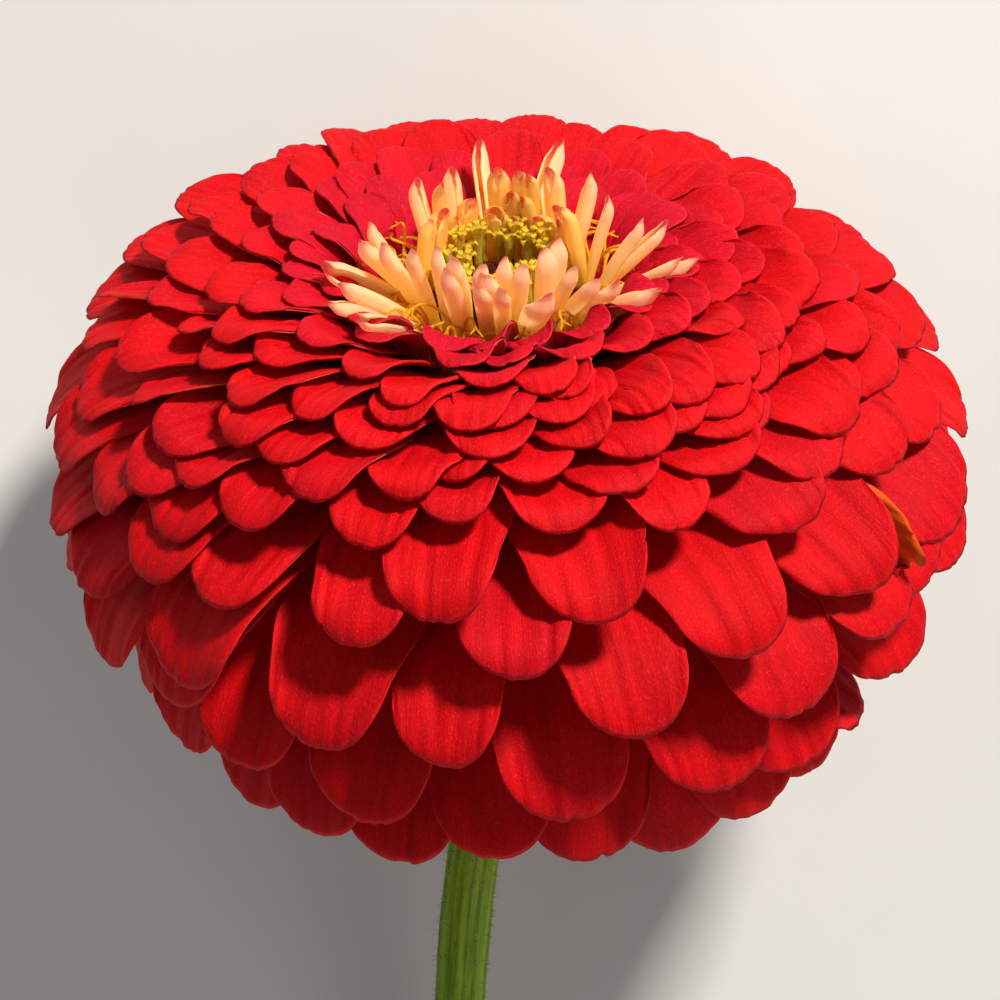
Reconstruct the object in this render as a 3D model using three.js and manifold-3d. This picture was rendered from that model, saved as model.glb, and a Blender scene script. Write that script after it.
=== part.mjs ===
// A double scarlet zinnia, cut with its stem and laid down: its head rests on its drooping
// petals and the stem's cut end touches the surface. Millimetres, +Z up.
// The flower is worked out in a frame of its own, with its axis along +Z and the base of its
// disc at the origin, and then laid over on its back petals.
import * as THREE from 'three';
import { mergeVertices } from 'three/addons/utils/BufferGeometryUtils.js';
import Module from 'manifold-3d';

const wasm = await Module();
wasm.setup();
const { Manifold, Mesh } = wasm;

// ---------------------------------------------------------------- driving dimensions
const HEAD_DIAMETER = 110;        // across the widest ring of petals
const HEAD_PIXELS = 918.5;        // the same in the photograph
const PIXELS_PER_MM = HEAD_PIXELS / HEAD_DIAMETER;
const CAMERA_DISTANCE = 560;      // from the disc, for the photograph's perspective
const CAMERA_ELEVATION = 30;      // degrees above the plane of the head
const CAMERA_ROLL = -3.5;         // degrees that the head leans in the picture
const DISC_PIXEL = [503, 292];    // base of the disc in the photograph
const AXIS_TILT = 22.8;           // degrees from the surface to the laid flower's axis
const HEAD_HEIGHT = 60.8;         // disc's base above the surface, measured upright
const CENTRE_X = -1.13;           // middle of the laid flower's width and length, from its disc
const CENTRE_Y = -60.61;

const BLADE_THICKNESS = 0.8;
const TOUCH_GAP = 0.3;            // between two pieces that touch
const SOFT_HEIGHT = 6;            // petals below this height give to the surface
const SOFT_SINK = 1.0;            // depth below the surface that is pressed quite flat
const FLAT_CUT = 0.25;            // how much of a pressed petal the surface flattens

// Where petal tips lie, as [radius, height], from the innermost row to the skirt.
const TIP_PROFILE = [[18, 4.5], [24.5, 6.2], [31, 5.5], [38, 3], [44, -0.5], [49, -6.5], [53, -14],
  [55.5, -22], [55.5, -30], [53, -38], [49, -45], [45, -51], [41, -57]];
const LEFT_SWELL = { azimuth: -125, spread: 42, radius: 0.07, height: 2.2 };
// Along the same rows: where a petal's root is, its pitch at the root, at the shoulder where its
// end turns down and at the end of that lip, the lip's length, how much its sides rise beside
// its middle, its width, and the tips' spacing.
const ROOT_RADIUS = [13.5, 12.8, 12, 11, 10, 9, 8.2];
const ROOT_HEIGHT = [-3, -5, -8, -12, -16, -19.5, -22.5];
const ROOT_PITCH = [60, 50, 34, 14, -6, -22, -26];
const SHOULDER_PITCH = [26, 16, 2, -20, -56, -70, -77];
const LIP_PITCH = [-20, -55, -80, -88, -84, -86, -89];
const LIP_LENGTH = [2.2, 3.4, 4.4, 4.8, 3.4, 2.8, 2.6];
const LIP_STEPS = 12;
const BACK_FLATNESS = 0.65;       // how much less the lips of the petals at the back turn down
const CUP_DEPTH = [0.46, 0.40, 0.33, 0.24, 0.12, 0.08, 0.08];
const PETAL_WIDTH = [6.5, 9, 11.3, 14.5, 16, 16, 15.5];
const TIP_SPACING = [6.0, 7.2, 8.8, 10.4, 11.6, 12, 12.5];
const ROW_END = 12 / 11;
const PETAL_LEAN = 0.14;          // each petal leans over its neighbour, in radians
const PHOTO_SHARE = 0.9;          // share of that spacing that one petal keeps from the next
const FILL_SHARE = 1.2;

// Petal tips read off the photograph, in pixels, row by row from the skirt upwards. A third
// number is how far that petal has turned over, in radians.
const PHOTO_TIPS = [
  [97, 655], [160, 702], [255, 775], [382, 828], [483, 861], [607, 861], [672, 866], [757, 813],
  [828, 778], [862, 740, -0.5],
  [80, 590], [172, 683], [312, 750], [448, 770], [632, 742], [800, 772], [900, 685],
  [52, 525], [137, 576], [212, 608], [340, 647], [525, 681], [735, 663], [888, 638], [920, 600],
  [918, 562, -1.25], [943, 543], [962, 508],
  [95, 510], [425, 623], [610, 623], [860, 600],
  [60, 470], [165, 543], [245, 533], [360, 550], [468, 525], [553, 537], [675, 534], [790, 538],
  [130, 487], [190, 490], [310, 503], [400, 500], [525, 485], [640, 492], [735, 475], [828, 476],
  [895, 470],
  [78, 420], [160, 452], [238, 450], [275, 465], [365, 451], [445, 483], [480, 460], [575, 451],
  [658, 456], [742, 440], [850, 425], [935, 440], [967, 425],
  [240, 410], [300, 420], [500, 429], [560, 425], [693, 430], [762, 430], [860, 400], [130, 400],
  [195, 362], [115, 362], [80, 345, 0.5], [147, 300, 0.4], [103, 293, 0.55], [215, 340],
  [350, 378], [495, 389], [575, 398], [740, 385], [788, 375], [888, 385], [925, 335],
  [283, 300], [245, 312], [205, 290], [143, 235], [305, 345], [365, 342], [485, 352], [580, 362],
  [640, 350], [735, 335], [770, 350], [818, 358], [862, 352], [893, 277],
  [190, 205], [245, 170], [240, 240], [290, 250], [740, 290], [815, 295], [805, 255], [880, 260],
  [837, 225],
  [285, 145], [335, 128], [375, 125], [440, 123], [480, 113], [580, 122], [640, 145], [700, 145],
  [785, 190], [740, 200],
];

// The red receptacle that the petals stand out of, as [radius, height] round its outside.
const CORE_PROFILE = [[0, -27], [16, -27], [24, -30.5], [33, -33], [38.5, -29.5], [40.5, -22], [40, -14],
  [37.5, -7], [33.5, -1.5], [28.5, 1.4], [23, 2], [17, 0.6], [13, -2.5], [0, -2.5]];
const CORE_SIDES = 28;
const ROOT_DEPTH = 1.6;           // how deep a petal's cut-off root sits in the receptacle

// Young rolled petals: tips in pixels, those behind the disc in a list of their own.
const YOUNG_PROFILE = [[8, 12.5], [12, 12], [16, 11], [20, 9.5], [25, 7]];
const YOUNG_BACK_PROFILE = [[8, 6], [8.4, 9], [9, 12], [12, 12.5], [17, 11.5], [23, 9]];
const YOUNG_FRONT = [[357, 208], [347, 230], [309, 260], [333, 283], [318, 310], [350, 322],
  [405, 240], [438, 240], [449, 264], [481, 282], [480, 258], [505, 250], [523, 258], [503, 285],
  [545, 240], [545, 295], [600, 280], [622, 285], [665, 290], [718, 268], [690, 255], [374, 236],
  [487, 268], [453, 249], [556, 230], [575, 262]];
const YOUNG_BACK = [[411, 180], [438, 180], [450, 170], [478, 160], [497, 165], [519, 167],
  [531, 170], [550, 168], [560, 163], [595, 175], [615, 197], [650, 218], [673, 222], [436, 208],
  [455, 213], [470, 195], [494, 205], [509, 187], [525, 193], [540, 213], [561, 204], [566, 218],
  [412, 220], [515, 214], [583, 206]];
const YOUNG_RING = { inner: 8.4, outer: 11.2, base: -2.15, top: -0.6 };
const YOUNG_RADIUS = 0.95;
const FLORET_RING = { inner: 4.6, outer: 8.1, base: -2.15, top: 0.2 };
const FLORET_COUNT = 26;
const FLORET_RADIUS = 0.62;
const CENTRE_RADIUS = 4.3;
const CENTRE_HEIGHT = 3.2;

// The green cup under the head and its overlapping bracts, as [radius, height].
const CUP_PROFILE = [[0, -27.3], [12.4, -27.3], [13.2, -31], [12.2, -36], [9, -40.5], [5.4, -43],
  [0, -43]];
const BRACT_ROWS = [[13, -29.4, 14], [11.2, -33, 13], [8.9, -36.6, 11], [6.4, -39.6, 8]];

// Stem, from under the cup to its cut end: [x, y, z] and its radius along it.
const STEM_PATH = [[0, 0, -43.34], [0, 0, -46], [-1.2, 0, -52], [-3.7, 0, -62], [-6.6, 0, -75],
  [-9.3, 0, -90], [-11.7, 0, -110], [-13.6, 0, -130], [-15.2, 0, -150.4]];
const STEM_RADII = [4.9, 4.4, 3.8, 3.5, 3.4, 3.3, 3.25, 3.2, 3.15];
const STEM_SIDES = 14;
const STEM_RIB = 0.12;

const SCARLET = 0xc3070f;
const CREAM = 0xf0cf9c;
const YELLOW = 0xe6b422;
const MAROON = 0x4a0a0c;
const GREEN = 0x6f9440;
const STEM_GREEN = 0x7da04c;

// ---------------------------------------------------------------- small mathematics
const radians = (degrees) => degrees * Math.PI / 180;
const clamp = (x, low, high) => Math.min(Math.max(x, low), high);
const smooth = (x) => x * x * (3 - 2 * x);

/** Repeatable value in 0..1 for piece i and property k. */
function noise(i, k) {
  const x = Math.sin(i * 12.9898 + k * 78.233) * 43758.5453;
  return x - Math.floor(x);
}
const around = (i, k) => 2 * noise(i, k) - 1;

/** Value of an evenly spaced list at row v, eased between its entries. */
function atRow(list, v) {
  const t = clamp(v / ROW_END, 0, 1) * (list.length - 1);
  const i = Math.min(Math.floor(t), list.length - 2);
  const f = smooth(t - i);
  return list[i] * (1 - f) + list[i + 1] * f;
}

/** Point of a smooth curve through [a, b] pairs, t in 0..1. */
function along(points, t) {
  const n = points.length - 1;
  const x = clamp(t, 0, 1) * n;
  const i = Math.min(Math.floor(x), n - 1);
  const f = x - i;
  const p = [points[Math.max(i - 1, 0)], points[i], points[i + 1], points[Math.min(i + 2, n)]];
  return [0, 1].map((k) => 0.5 * (2 * p[1][k] + (p[2][k] - p[0][k]) * f
    + (2 * p[0][k] - 5 * p[1][k] + 4 * p[2][k] - p[3][k]) * f * f
    + (3 * p[1][k] - p[0][k] - 3 * p[2][k] + p[3][k]) * f * f * f));
}

/** Flower frame to the laid flower's frame. */
const LAY = new THREE.Matrix4().makeRotationX(-radians(90 - AXIS_TILT))
  .setPosition(-CENTRE_X, -CENTRE_Y, HEAD_HEIGHT);
const lay = (x, y, z) => new THREE.Vector3(x, y, z).applyMatrix4(LAY).toArray();

/** Height of a petal's middle surface once the surface below has pressed it. */
function pressed(height) {
  const rest = BLADE_THICKNESS / 2 - FLAT_CUT;
  const low = rest - SOFT_SINK;
  if (height >= SOFT_HEIGHT) return height;
  if (height <= low) return rest;
  const q = (height - low) / (SOFT_HEIGHT - low);
  return rest + (SOFT_HEIGHT - rest) * q ** ((SOFT_HEIGHT - low) / (SOFT_HEIGHT - rest));
}

// ---------------------------------------------------------------- the photograph's camera
const camera = (() => {
  const e = radians(CAMERA_ELEVATION);
  const r = radians(CAMERA_ROLL);
  const back = new THREE.Vector3(0, -Math.cos(e), Math.sin(e));
  const level = new THREE.Vector3(1, 0, 0);
  const upright = back.clone().cross(level);
  const right = level.clone().multiplyScalar(Math.cos(r)).addScaledVector(upright, Math.sin(r));
  const up = upright.clone().multiplyScalar(Math.cos(r)).addScaledVector(level, -Math.sin(r));
  return { back, right, up, focal: PIXELS_PER_MM * CAMERA_DISTANCE };
})();

function toPixel([x, y, z]) {
  const p = new THREE.Vector3(x, y, z);
  const depth = CAMERA_DISTANCE - p.dot(camera.back);
  return [DISC_PIXEL[0] + camera.focal * p.dot(camera.right) / depth,
    DISC_PIXEL[1] - camera.focal * p.dot(camera.up) / depth, p.dot(camera.back)];
}

/** Petal tip at an azimuth (0 faces the camera) and a row v. */
function tipPoint(azimuth, v) {
  let [r, z] = along(TIP_PROFILE, v / ROW_END);
  const away = ((azimuth - LEFT_SWELL.azimuth + 540) % 360 - 180) / LEFT_SWELL.spread;
  const swell = Math.exp(-away * away);
  r *= 1 + LEFT_SWELL.radius * swell;
  z += LEFT_SWELL.height * swell;
  return [r * Math.sin(radians(azimuth)), -r * Math.cos(radians(azimuth)), z];
}

/** Azimuth and row whose tip the camera sees at a pixel, nearest the camera of its solutions. */
function placeAt(pixel, pointOf, rows, near) {
  let best = { cost: Infinity };
  for (let azimuth = -180; azimuth < 180; azimuth += 3) {
    for (let k = 0; k <= 56; k += 1) {
      const v = rows * k / 56;
      const [x, y, toward] = toPixel(pointOf(azimuth, v));
      const off = (x - pixel[0]) ** 2 + (y - pixel[1]) ** 2;
      const cost = off - (off < 900 ? 6 * near * toward : 0);
      if (cost < best.cost) best = { cost, azimuth, v };
    }
  }
  let { azimuth, v } = best;
  for (const step of [3, 1.5, 0.8, 0.4, 0.2, 0.1]) {
    let closest = { off: Infinity };
    for (const a of [-step, 0, step]) {
      for (const b of [-step, 0, step]) {
        const row = clamp(v + b * 0.006, 0, rows);
        const [x, y] = toPixel(pointOf(azimuth + a, row));
        const off = (x - pixel[0]) ** 2 + (y - pixel[1]) ** 2;
        if (off < closest.off) closest = { off, azimuth: azimuth + a, v: row };
      }
    }
    ({ azimuth, v } = closest);
  }
  return { azimuth, v };
}

// ---------------------------------------------------------------- solids
/** Solid from a list of points and triangles. */
function solid(points, triangles) {
  return new Manifold(new Mesh({
    numProp: 3,
    vertProperties: new Float32Array(points.flat()),
    triVerts: new Uint32Array(triangles.flat()),
  }));
}

/** The same with its faces turned outwards if they point in. */
function outward(points, triangles) {
  const made = solid(points, triangles);
  return made.volume() > 0 ? made : solid(points, triangles.map(([a, b, c]) => [a, c, b]));
}

/** Closed solid through rings of equally many points, first and last capped by a fan. */
function loft(rings) {
  const n = rings[0].length;
  const points = rings.flat();
  const triangles = [];
  for (let k = 0; k + 1 < rings.length; k += 1) {
    for (let i = 0; i < n; i += 1) {
      const a = k * n + i;
      const b = k * n + (i + 1) % n;
      triangles.push([a, b, b + n], [a, b + n, a + n]);
    }
  }
  const last = (rings.length - 1) * n;
  for (let i = 1; i + 1 < n; i += 1) {
    triangles.push([0, i + 1, i], [last, last + i, last + i + 1]);
  }
  return outward(points, triangles);
}

/** Solid of a three.js geometry whose surface is closed. */
function fromGeometry(geometry) {
  geometry.deleteAttribute('normal');
  geometry.deleteAttribute('uv');
  const merged = mergeVertices(geometry, 1e-4);
  const points = [];
  const position = merged.getAttribute('position');
  for (let i = 0; i < position.count; i += 1) {
    points.push([position.getX(i), position.getY(i), position.getZ(i)]);
  }
  const triangles = [];
  for (let i = 0; i < merged.index.count; i += 3) {
    const [a, b, c] = [0, 1, 2].map((k) => merged.index.getX(i + k));
    if (a !== b && b !== c && c !== a) triangles.push([a, b, c]);
  }
  return outward(points, triangles);
}

/** Laid solid of revolution about the flower's axis, from [radius, height] pairs upwards. */
function turned(profile, sides) {
  const outline = profile.map(([r, z]) => new THREE.Vector2(r, z));
  const geometry = new THREE.LatheGeometry(outline, sides).rotateX(Math.PI / 2);
  return fromGeometry(geometry.applyMatrix4(LAY));
}

/** Closed pairs for a turned disc or plug between two heights. */
const plug = (radius, base, top) => [[0, base], [radius, base], [radius, top], [0, top]];

// A blade's corners in petal coordinates: s along it, t across it. Root edge first.
const BLADE_CORNERS = [[0, -1], [0, 1], [0.78, 1], [1, 0.78], [1, 0], [1, -0.78], [0.78, -1],
  [0.7, 0]];
const BLADE_RIM = 7;
const BLADE_FACES = [[0, 1, 7], [1, 2, 7], [2, 3, 7], [3, 4, 7], [4, 5, 7], [5, 6, 7], [6, 0, 7]];

/** Thin closed solid on a surface(s, t), from s = start to the tip. */
function blade(surface, start, thickness) {
  const step = 0.01;
  const faces = [[], []];
  for (const [cs, t] of BLADE_CORNERS) {
    const s = start + (1 - start) * cs;
    const p = new THREE.Vector3(...surface(s, t));
    const ds = new THREE.Vector3(...surface(s - step, t)).sub(p).negate();
    const dt = new THREE.Vector3(...surface(s, t - step)).sub(new THREE.Vector3(...surface(s, t + step)));
    const normal = dt.cross(ds).normalize().multiplyScalar(thickness / 2);
    faces[0].push(p.clone().add(normal).toArray());
    faces[1].push(p.clone().sub(normal).toArray());
  }
  const n = BLADE_CORNERS.length;
  const triangles = [];
  for (const [a, b, c] of BLADE_FACES) triangles.push([a, b, c], [n + a, n + c, n + b]);
  for (let i = 0; i < BLADE_RIM; i += 1) {
    const j = (i + 1) % BLADE_RIM;
    triangles.push([i, n + i, n + j], [i, n + j, j]);
  }
  return outward(faces.flat(), triangles);
}

// ---------------------------------------------------------------- red petals
/** One petal's form from its number, azimuth, row and how far it has turned over. */
function petalForm(index, { azimuth, v, turnedOver }) {
  const [tx, ty, tz] = tipPoint(azimuth, v);
  const tip = [Math.hypot(tx, ty), tz];
  const root = [atRow(ROOT_RADIUS, v), atRow(ROOT_HEIGHT, v)];
  const backness = smooth(clamp((Math.abs(azimuth) - 90) / 60, 0, 1));
  const a0 = radians(atRow(ROOT_PITCH, v) + 5 * around(index, 1));
  const a1 = radians(atRow(SHOULDER_PITCH, v) + 11 * around(index, 2));
  const down = Math.min(radians(atRow(LIP_PITCH, v) + 16 * around(index, 9)) - a1, -0.1);
  const step = atRow(LIP_LENGTH, v) * (1 + 0.25 * around(index, 10)) / LIP_STEPS;
  const lip = [[0, 0]];
  for (let k = 0; k < LIP_STEPS; k += 1) {
    const pitch = a1 + down * (1 - BACK_FLATNESS * backness) * (k + 0.5) / LIP_STEPS;
    lip.push([lip[k][0] + step * Math.cos(pitch), lip[k][1] + step * Math.sin(pitch)]);
  }
  const shoulder = [0, 1].map((c) => tip[c] - lip[LIP_STEPS][c]);
  const chord = Math.hypot(shoulder[0] - root[0], shoulder[1] - root[1]);
  const control = [root,
    [root[0] + 0.4 * chord * Math.cos(a0), root[1] + 0.4 * chord * Math.sin(a0)],
    [shoulder[0] - 0.33 * chord * Math.cos(a1), shoulder[1] - 0.33 * chord * Math.sin(a1)], shoulder];
  const path = [];
  for (let k = 0; k < 40; k += 1) {
    const t = k / 40;
    const w = [(1 - t) ** 3, 3 * (1 - t) ** 2 * t, 3 * (1 - t) * t * t, t ** 3];
    path.push([0, 1].map((c) => w.reduce((sum, x, i) => sum + x * control[i][c], 0)));
  }
  path.push(...lip.map(([r, z]) => [shoulder[0] + r, shoulder[1] + z]));
  const lengths = [0];
  for (let k = 1; k < path.length; k += 1) {
    lengths.push(lengths[k - 1] + Math.hypot(path[k][0] - path[k - 1][0], path[k][1] - path[k - 1][1]));
  }
  return {
    azimuth, path, lengths, length: lengths[path.length - 1], shoulder: lengths[40],
    width: atRow(PETAL_WIDTH, v) * (1 + 0.10 * around(index, 3)),
    cup: atRow(CUP_DEPTH, v) * (0.6 + 0.8 * noise(index, 4)),
    twist: (0.10 + 0.16 * smooth(clamp((0.7 - v) / 0.3, 0, 1))) * around(index, 5) + turnedOver,
    sideways: 0.04 * around(index, 6),
    lean: PETAL_LEAN + 0.04 * around(index, 7),
  };
}

/** Point and direction of a petal's midrib at a length from its root, in [radius, height]. */
function midrib(form, u) {
  const { path, lengths } = form;
  let k = 0;
  while (k + 2 < path.length && lengths[k + 1] < u) k += 1;
  const f = (u - lengths[k]) / (lengths[k + 1] - lengths[k]);
  const direction = [path[k + 1][0] - path[k][0], path[k + 1][1] - path[k][1]];
  const size = Math.hypot(direction[0], direction[1]);
  return {
    r: path[k][0] + f * direction[0], z: path[k][1] + f * direction[1],
    dr: direction[0] / size, dz: direction[1] / size,
  };
}

/** A petal's middle surface in the flower frame: s from root to tip, t across. */
function petalPoint(form, s, t) {
  const { width, length, shoulder, cup, twist, sideways, lean } = form;
  const round = 0.5 * width;
  const u = s * (length - round * (1 - Math.sqrt(Math.max(0, 1 - t * t))));
  const m = midrib(form, u);
  const open = smooth(clamp((s - 0.06) / 0.78, 0, 1));
  const half = 0.5 * width * (0.14 + 0.86 * open) * (1 - 0.16 * smooth(clamp((s - 0.8) / 0.2, 0, 1)));
  const turn = twist * s + lean;
  const across = t * half;
  const trough = smooth(clamp((u / length - 0.35) / 0.35, 0, 1));
  const past = smooth(clamp((u - shoulder + 1.5) / (length - shoulder + 1.5), 0, 1));
  const rise = half * t * t * (1 - 0.4 * t ** 4) * (cup * trough * (1 - 1.15 * past) - 0.06 * past);
  const side = across * Math.cos(turn) - rise * Math.sin(turn) + sideways * length * s * s;
  const up = across * Math.sin(turn) + rise * Math.cos(turn);
  const r = m.r - m.dz * up;
  const z = m.z + m.dr * up;
  const a = radians(form.azimuth);
  return [r * Math.sin(a) + side * Math.cos(a), -r * Math.cos(a) + side * Math.sin(a), z];
}

/** The same surface laid down and pressed on the surface below. */
function laidPetalPoint(form, s, t) {
  const p = lay(...petalPoint(form, s, t));
  p[2] = pressed(p[2]);
  return p;
}

/** Distance of [r, z] from the receptacle's outside, positive inside it. */
function depthInCore(r, z) {
  let inside = false;
  let near = Infinity;
  const n = CORE_PROFILE.length;
  for (let i = 0; i < n; i += 1) {
    const [ar, az] = CORE_PROFILE[i];
    const [br, bz] = CORE_PROFILE[(i + 1) % n];
    if ((az > z) !== (bz > z) && r < (br - ar) * (z - az) / (bz - az) + ar) inside = !inside;
    if (i + 1 === n) continue;
    const along2 = (br - ar) ** 2 + (bz - az) ** 2;
    const f = clamp(((r - ar) * (br - ar) + (z - az) * (bz - az)) / along2, 0, 1);
    near = Math.min(near, Math.hypot(ar + f * (br - ar) - r, az + f * (bz - az) - z));
  }
  return inside ? near : -near;
}

/** Where a petal's solid starts, still sunk in the receptacle. */
function rootOf(form) {
  let s = 0;
  while (s < 0.6) {
    const m = midrib(form, (s + 0.02) * form.length);
    if (depthInCore(m.r, m.z) < ROOT_DEPTH) break;
    s += 0.02;
  }
  return s;
}

/** All petals: those of the photograph, then a spiral that fills the rest of the head. */
function petalForms() {
  const places = [];
  const tips = [];
  const add = (azimuth, v, turnedOver, share) => {
    const tip = tipPoint(azimuth, v);
    const room = Math.min(...tips.map((p) => Math.hypot(p[0] - tip[0], p[1] - tip[1], p[2] - tip[2])));
    if (room < share * atRow(TIP_SPACING, v)) return;
    places.push({ azimuth, v, turnedOver });
    tips.push(tip);
  };
  for (const [x, y, turnedOver = 0] of PHOTO_TIPS) {
    const { azimuth, v } = placeAt([x, y], tipPoint, ROW_END, 1);
    add(azimuth, v, turnedOver, PHOTO_SHARE);
  }
  const SPIRAL_STEPS = 1400;
  for (let i = 0; i < SPIRAL_STEPS; i += 1) {
    const azimuth = (i * 137.50776) % 360 - 180;
    const v = 0.05 + (ROW_END - 0.07) * (i + 0.5) / SPIRAL_STEPS;
    add(azimuth, v, 0, FILL_SHARE);
  }
  return places.map((place, i) => petalForm(i, place));
}

function rayPetals(inner) {
  const forms = petalForms();
  const parts = [turned(CORE_PROFILE, CORE_SIDES)];
  for (const form of forms) {
    parts.push(blade((s, t) => laidPetalPoint(form, s, t), rootOf(form), BLADE_THICKNESS));
  }
  const whole = Manifold.union(parts).subtract(inner);
  return largest(whole.subtract(floorSlab()));
}

/** What lies below the surface that the flower rests on. */
function floorSlab() {
  return fromGeometry(new THREE.BoxGeometry(400, 400, 20).translate(0, 0, -10));
}

/** The biggest body of a solid. */
function largest(made) {
  return made.decompose().sort((a, b) => b.volume() - a.volume())[0];
}

// ---------------------------------------------------------------- the disc
/** Ring of rectangular section about the flower's axis. */
function ring({ inner, outer, base, top }, grow = 0) {
  const sides = 26;
  const outside = turned(plug(outer + grow, base - grow, top + grow), sides);
  return outside.subtract(turned(plug(inner - grow, base - grow - 1, top + grow + 1), sides));
}

/** Rolled petal or floret: a bent, pointed tube between two points with a bow outwards. */
function spindle(from, to, bow, radii, sides) {
  const a = new THREE.Vector3(...from);
  const b = new THREE.Vector3(...to);
  const middle = a.clone().add(b).multiplyScalar(0.5);
  middle.x += bow * a.x / Math.hypot(a.x, a.y);
  middle.y += bow * a.y / Math.hypot(a.x, a.y);
  const curve = new THREE.QuadraticBezierCurve3(a, middle, b);
  const rings = radii.map((radius, k) => {
    const t = k / (radii.length - 1);
    const centre = curve.getPoint(t);
    const forward = curve.getTangent(t);
    const side = new THREE.Vector3(-a.y, a.x, 0).normalize();
    const up = forward.clone().cross(side).normalize();
    return Array.from({ length: sides }, (_, i) => {
      const w = 2 * Math.PI * (i + 0.5) / sides;
      return centre.clone().addScaledVector(side, radius * Math.cos(w))
        .addScaledVector(up, radius * Math.sin(w)).applyMatrix4(LAY).toArray();
    });
  });
  return loft(rings);
}

/** Azimuth and tip of every young petal, from its pixel and its tips' profile. */
function youngPlaces() {
  const place = (pixels, profile, near) => pixels.map((pixel) => {
    const tipOf = (azimuth, v) => {
      const [r, z] = along(profile, v);
      return [r * Math.sin(radians(azimuth)), -r * Math.cos(radians(azimuth)), z];
    };
    const { azimuth, v } = placeAt(pixel, tipOf, 1, near);
    return { azimuth, tip: tipOf(azimuth, v) };
  });
  return [...place(YOUNG_FRONT, YOUNG_PROFILE, 40), ...place(YOUNG_BACK, YOUNG_BACK_PROFILE, -10)];
}

function youngPetals(grow = 0) {
  const parts = [ring(YOUNG_RING, grow)];
  youngPlaces().forEach(({ azimuth, tip }, i) => {
    const r = YOUNG_RING.inner + 0.7 + (YOUNG_RING.outer - YOUNG_RING.inner - 1.2) * noise(i, 11);
    const a = radians(azimuth + 4 * around(i, 12));
    const root = [r * Math.sin(a), -r * Math.cos(a), YOUNG_RING.base + 0.5];
    const size = YOUNG_RADIUS * (1 + 0.12 * around(i, 13)) + grow;
    parts.push(spindle(root, tip, -0.6, [size * 0.8, size, size * 0.95, size * 0.5], 4));
  });
  return Manifold.union(parts);
}

function discFlorets(grow = 0) {
  const parts = [ring(FLORET_RING, grow)];
  for (let i = 0; i < FLORET_COUNT; i += 1) {
    const a = 2.39996 * i;
    const r = 5.3 + 2.0 * noise(i, 21);
    const top = 3.6 + 1.6 * noise(i, 22);
    const size = FLORET_RADIUS + grow;
    const lean = 1 + 0.08 * around(i, 23);
    parts.push(spindle([r * Math.cos(a), r * Math.sin(a), 0],
      [r * lean * Math.cos(a), r * lean * Math.sin(a), top + grow], 0, [size, size * 0.8, size * 1.25], 4));
  }
  return Manifold.union(parts);
}

function discCentre(grow = 0) {
  const base = FLORET_RING.base - grow;
  const profile = [[0, base], [CENTRE_RADIUS + grow, base], [CENTRE_RADIUS + grow, 0.6], [3.4, 1.9],
    [1.6, CENTRE_HEIGHT - 0.3], [0, CENTRE_HEIGHT]];
  const parts = [turned(profile, 14)];
  for (let i = 0; i < 14; i += 1) {
    const a = 2.39996 * i;
    const r = 3.5 * Math.sqrt((i + 0.6) / 14);
    const z = CENTRE_HEIGHT - 0.16 * r * r + 0.7;
    const root = [r * Math.cos(a), r * Math.sin(a), 0.2];
    parts.push(spindle(root, [0.9 * root[0], 0.9 * root[1], z], 0, [0.55, 0.55, 0.25], 4));
  }
  return Manifold.union(parts);
}

// ---------------------------------------------------------------- cup and stem
/** Bract on the cup: its middle surface in the flower frame. */
function bractPoint(row, azimuth, s, t) {
  const [topRadius, topHeight] = BRACT_ROWS[row];
  const length = 8.2 - 0.9 * row;
  const width = 6.2 - 0.7 * row;
  const round = 0.4 * width;
  const u = s * (length - round * (1 - Math.sqrt(Math.max(0, 1 - (0.97 * t) ** 2))));
  const half = 0.5 * width * (0.75 + 0.25 * Math.sin(Math.PI * s));
  const slope = [0.06, 0.36, 0.66, 0.95][row];
  const free = 0.55 * s * s;
  const back = length - u;
  const r = topRadius - back * slope * (0.6 + 0.4 * back / length) + free + 0.1;
  const z = topHeight + 1.2 - back * Math.sqrt(1 - slope * slope * 0.8);
  const a = radians(azimuth) + t * half / Math.max(r, 4);
  return [r * Math.sin(a), -r * Math.cos(a), z];
}

function involucre() {
  const parts = [turned(CUP_PROFILE, 22)];
  BRACT_ROWS.forEach(([, , count], row) => {
    for (let i = 0; i < count; i += 1) {
      const azimuth = 360 * (i + 0.5 * (row % 2)) / count + 3 * around(i, 31 + row);
      parts.push(blade((s, t) => lay(...bractPoint(row, azimuth, s, t)), 0.1, BLADE_THICKNESS));
    }
  });
  const above = turned(plug(40, CUP_PROFILE[0][1], 0), 12);
  const below = turned(plug(40, -80, CUP_PROFILE[CUP_PROFILE.length - 1][1]), 12);
  return largest(Manifold.union(parts).subtract(above).subtract(below));
}

function stem() {
  const path = new THREE.CatmullRomCurve3(STEM_PATH.map((p) => new THREE.Vector3(...lay(...p))));
  const sections = 2 * (STEM_PATH.length - 1);
  const side = new THREE.Vector3(1, 0, 0);
  const rings = [];
  for (let k = 0; k <= sections; k += 1) {
    const t = k / sections;
    const forward = path.getTangent(t);
    const up = forward.clone().cross(side).normalize();
    const level = up.clone().cross(forward).normalize();
    const at = t * (STEM_RADII.length - 1);
    const i = Math.min(Math.floor(at), STEM_RADII.length - 2);
    const radius = STEM_RADII[i] + (at - i) * (STEM_RADII[i + 1] - STEM_RADII[i]);
    const centre = path.getPoint(t);
    rings.push(Array.from({ length: STEM_SIDES }, (_, n) => {
      const w = 2 * Math.PI * n / STEM_SIDES;
      const ribbed = radius + STEM_RIB * (n % 2 ? -1 : 1);
      return centre.clone().addScaledVector(level, ribbed * Math.cos(w))
        .addScaledVector(up, ribbed * Math.sin(w)).toArray();
    }));
  }
  return loft(rings).subtract(floorSlab());
}

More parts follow.
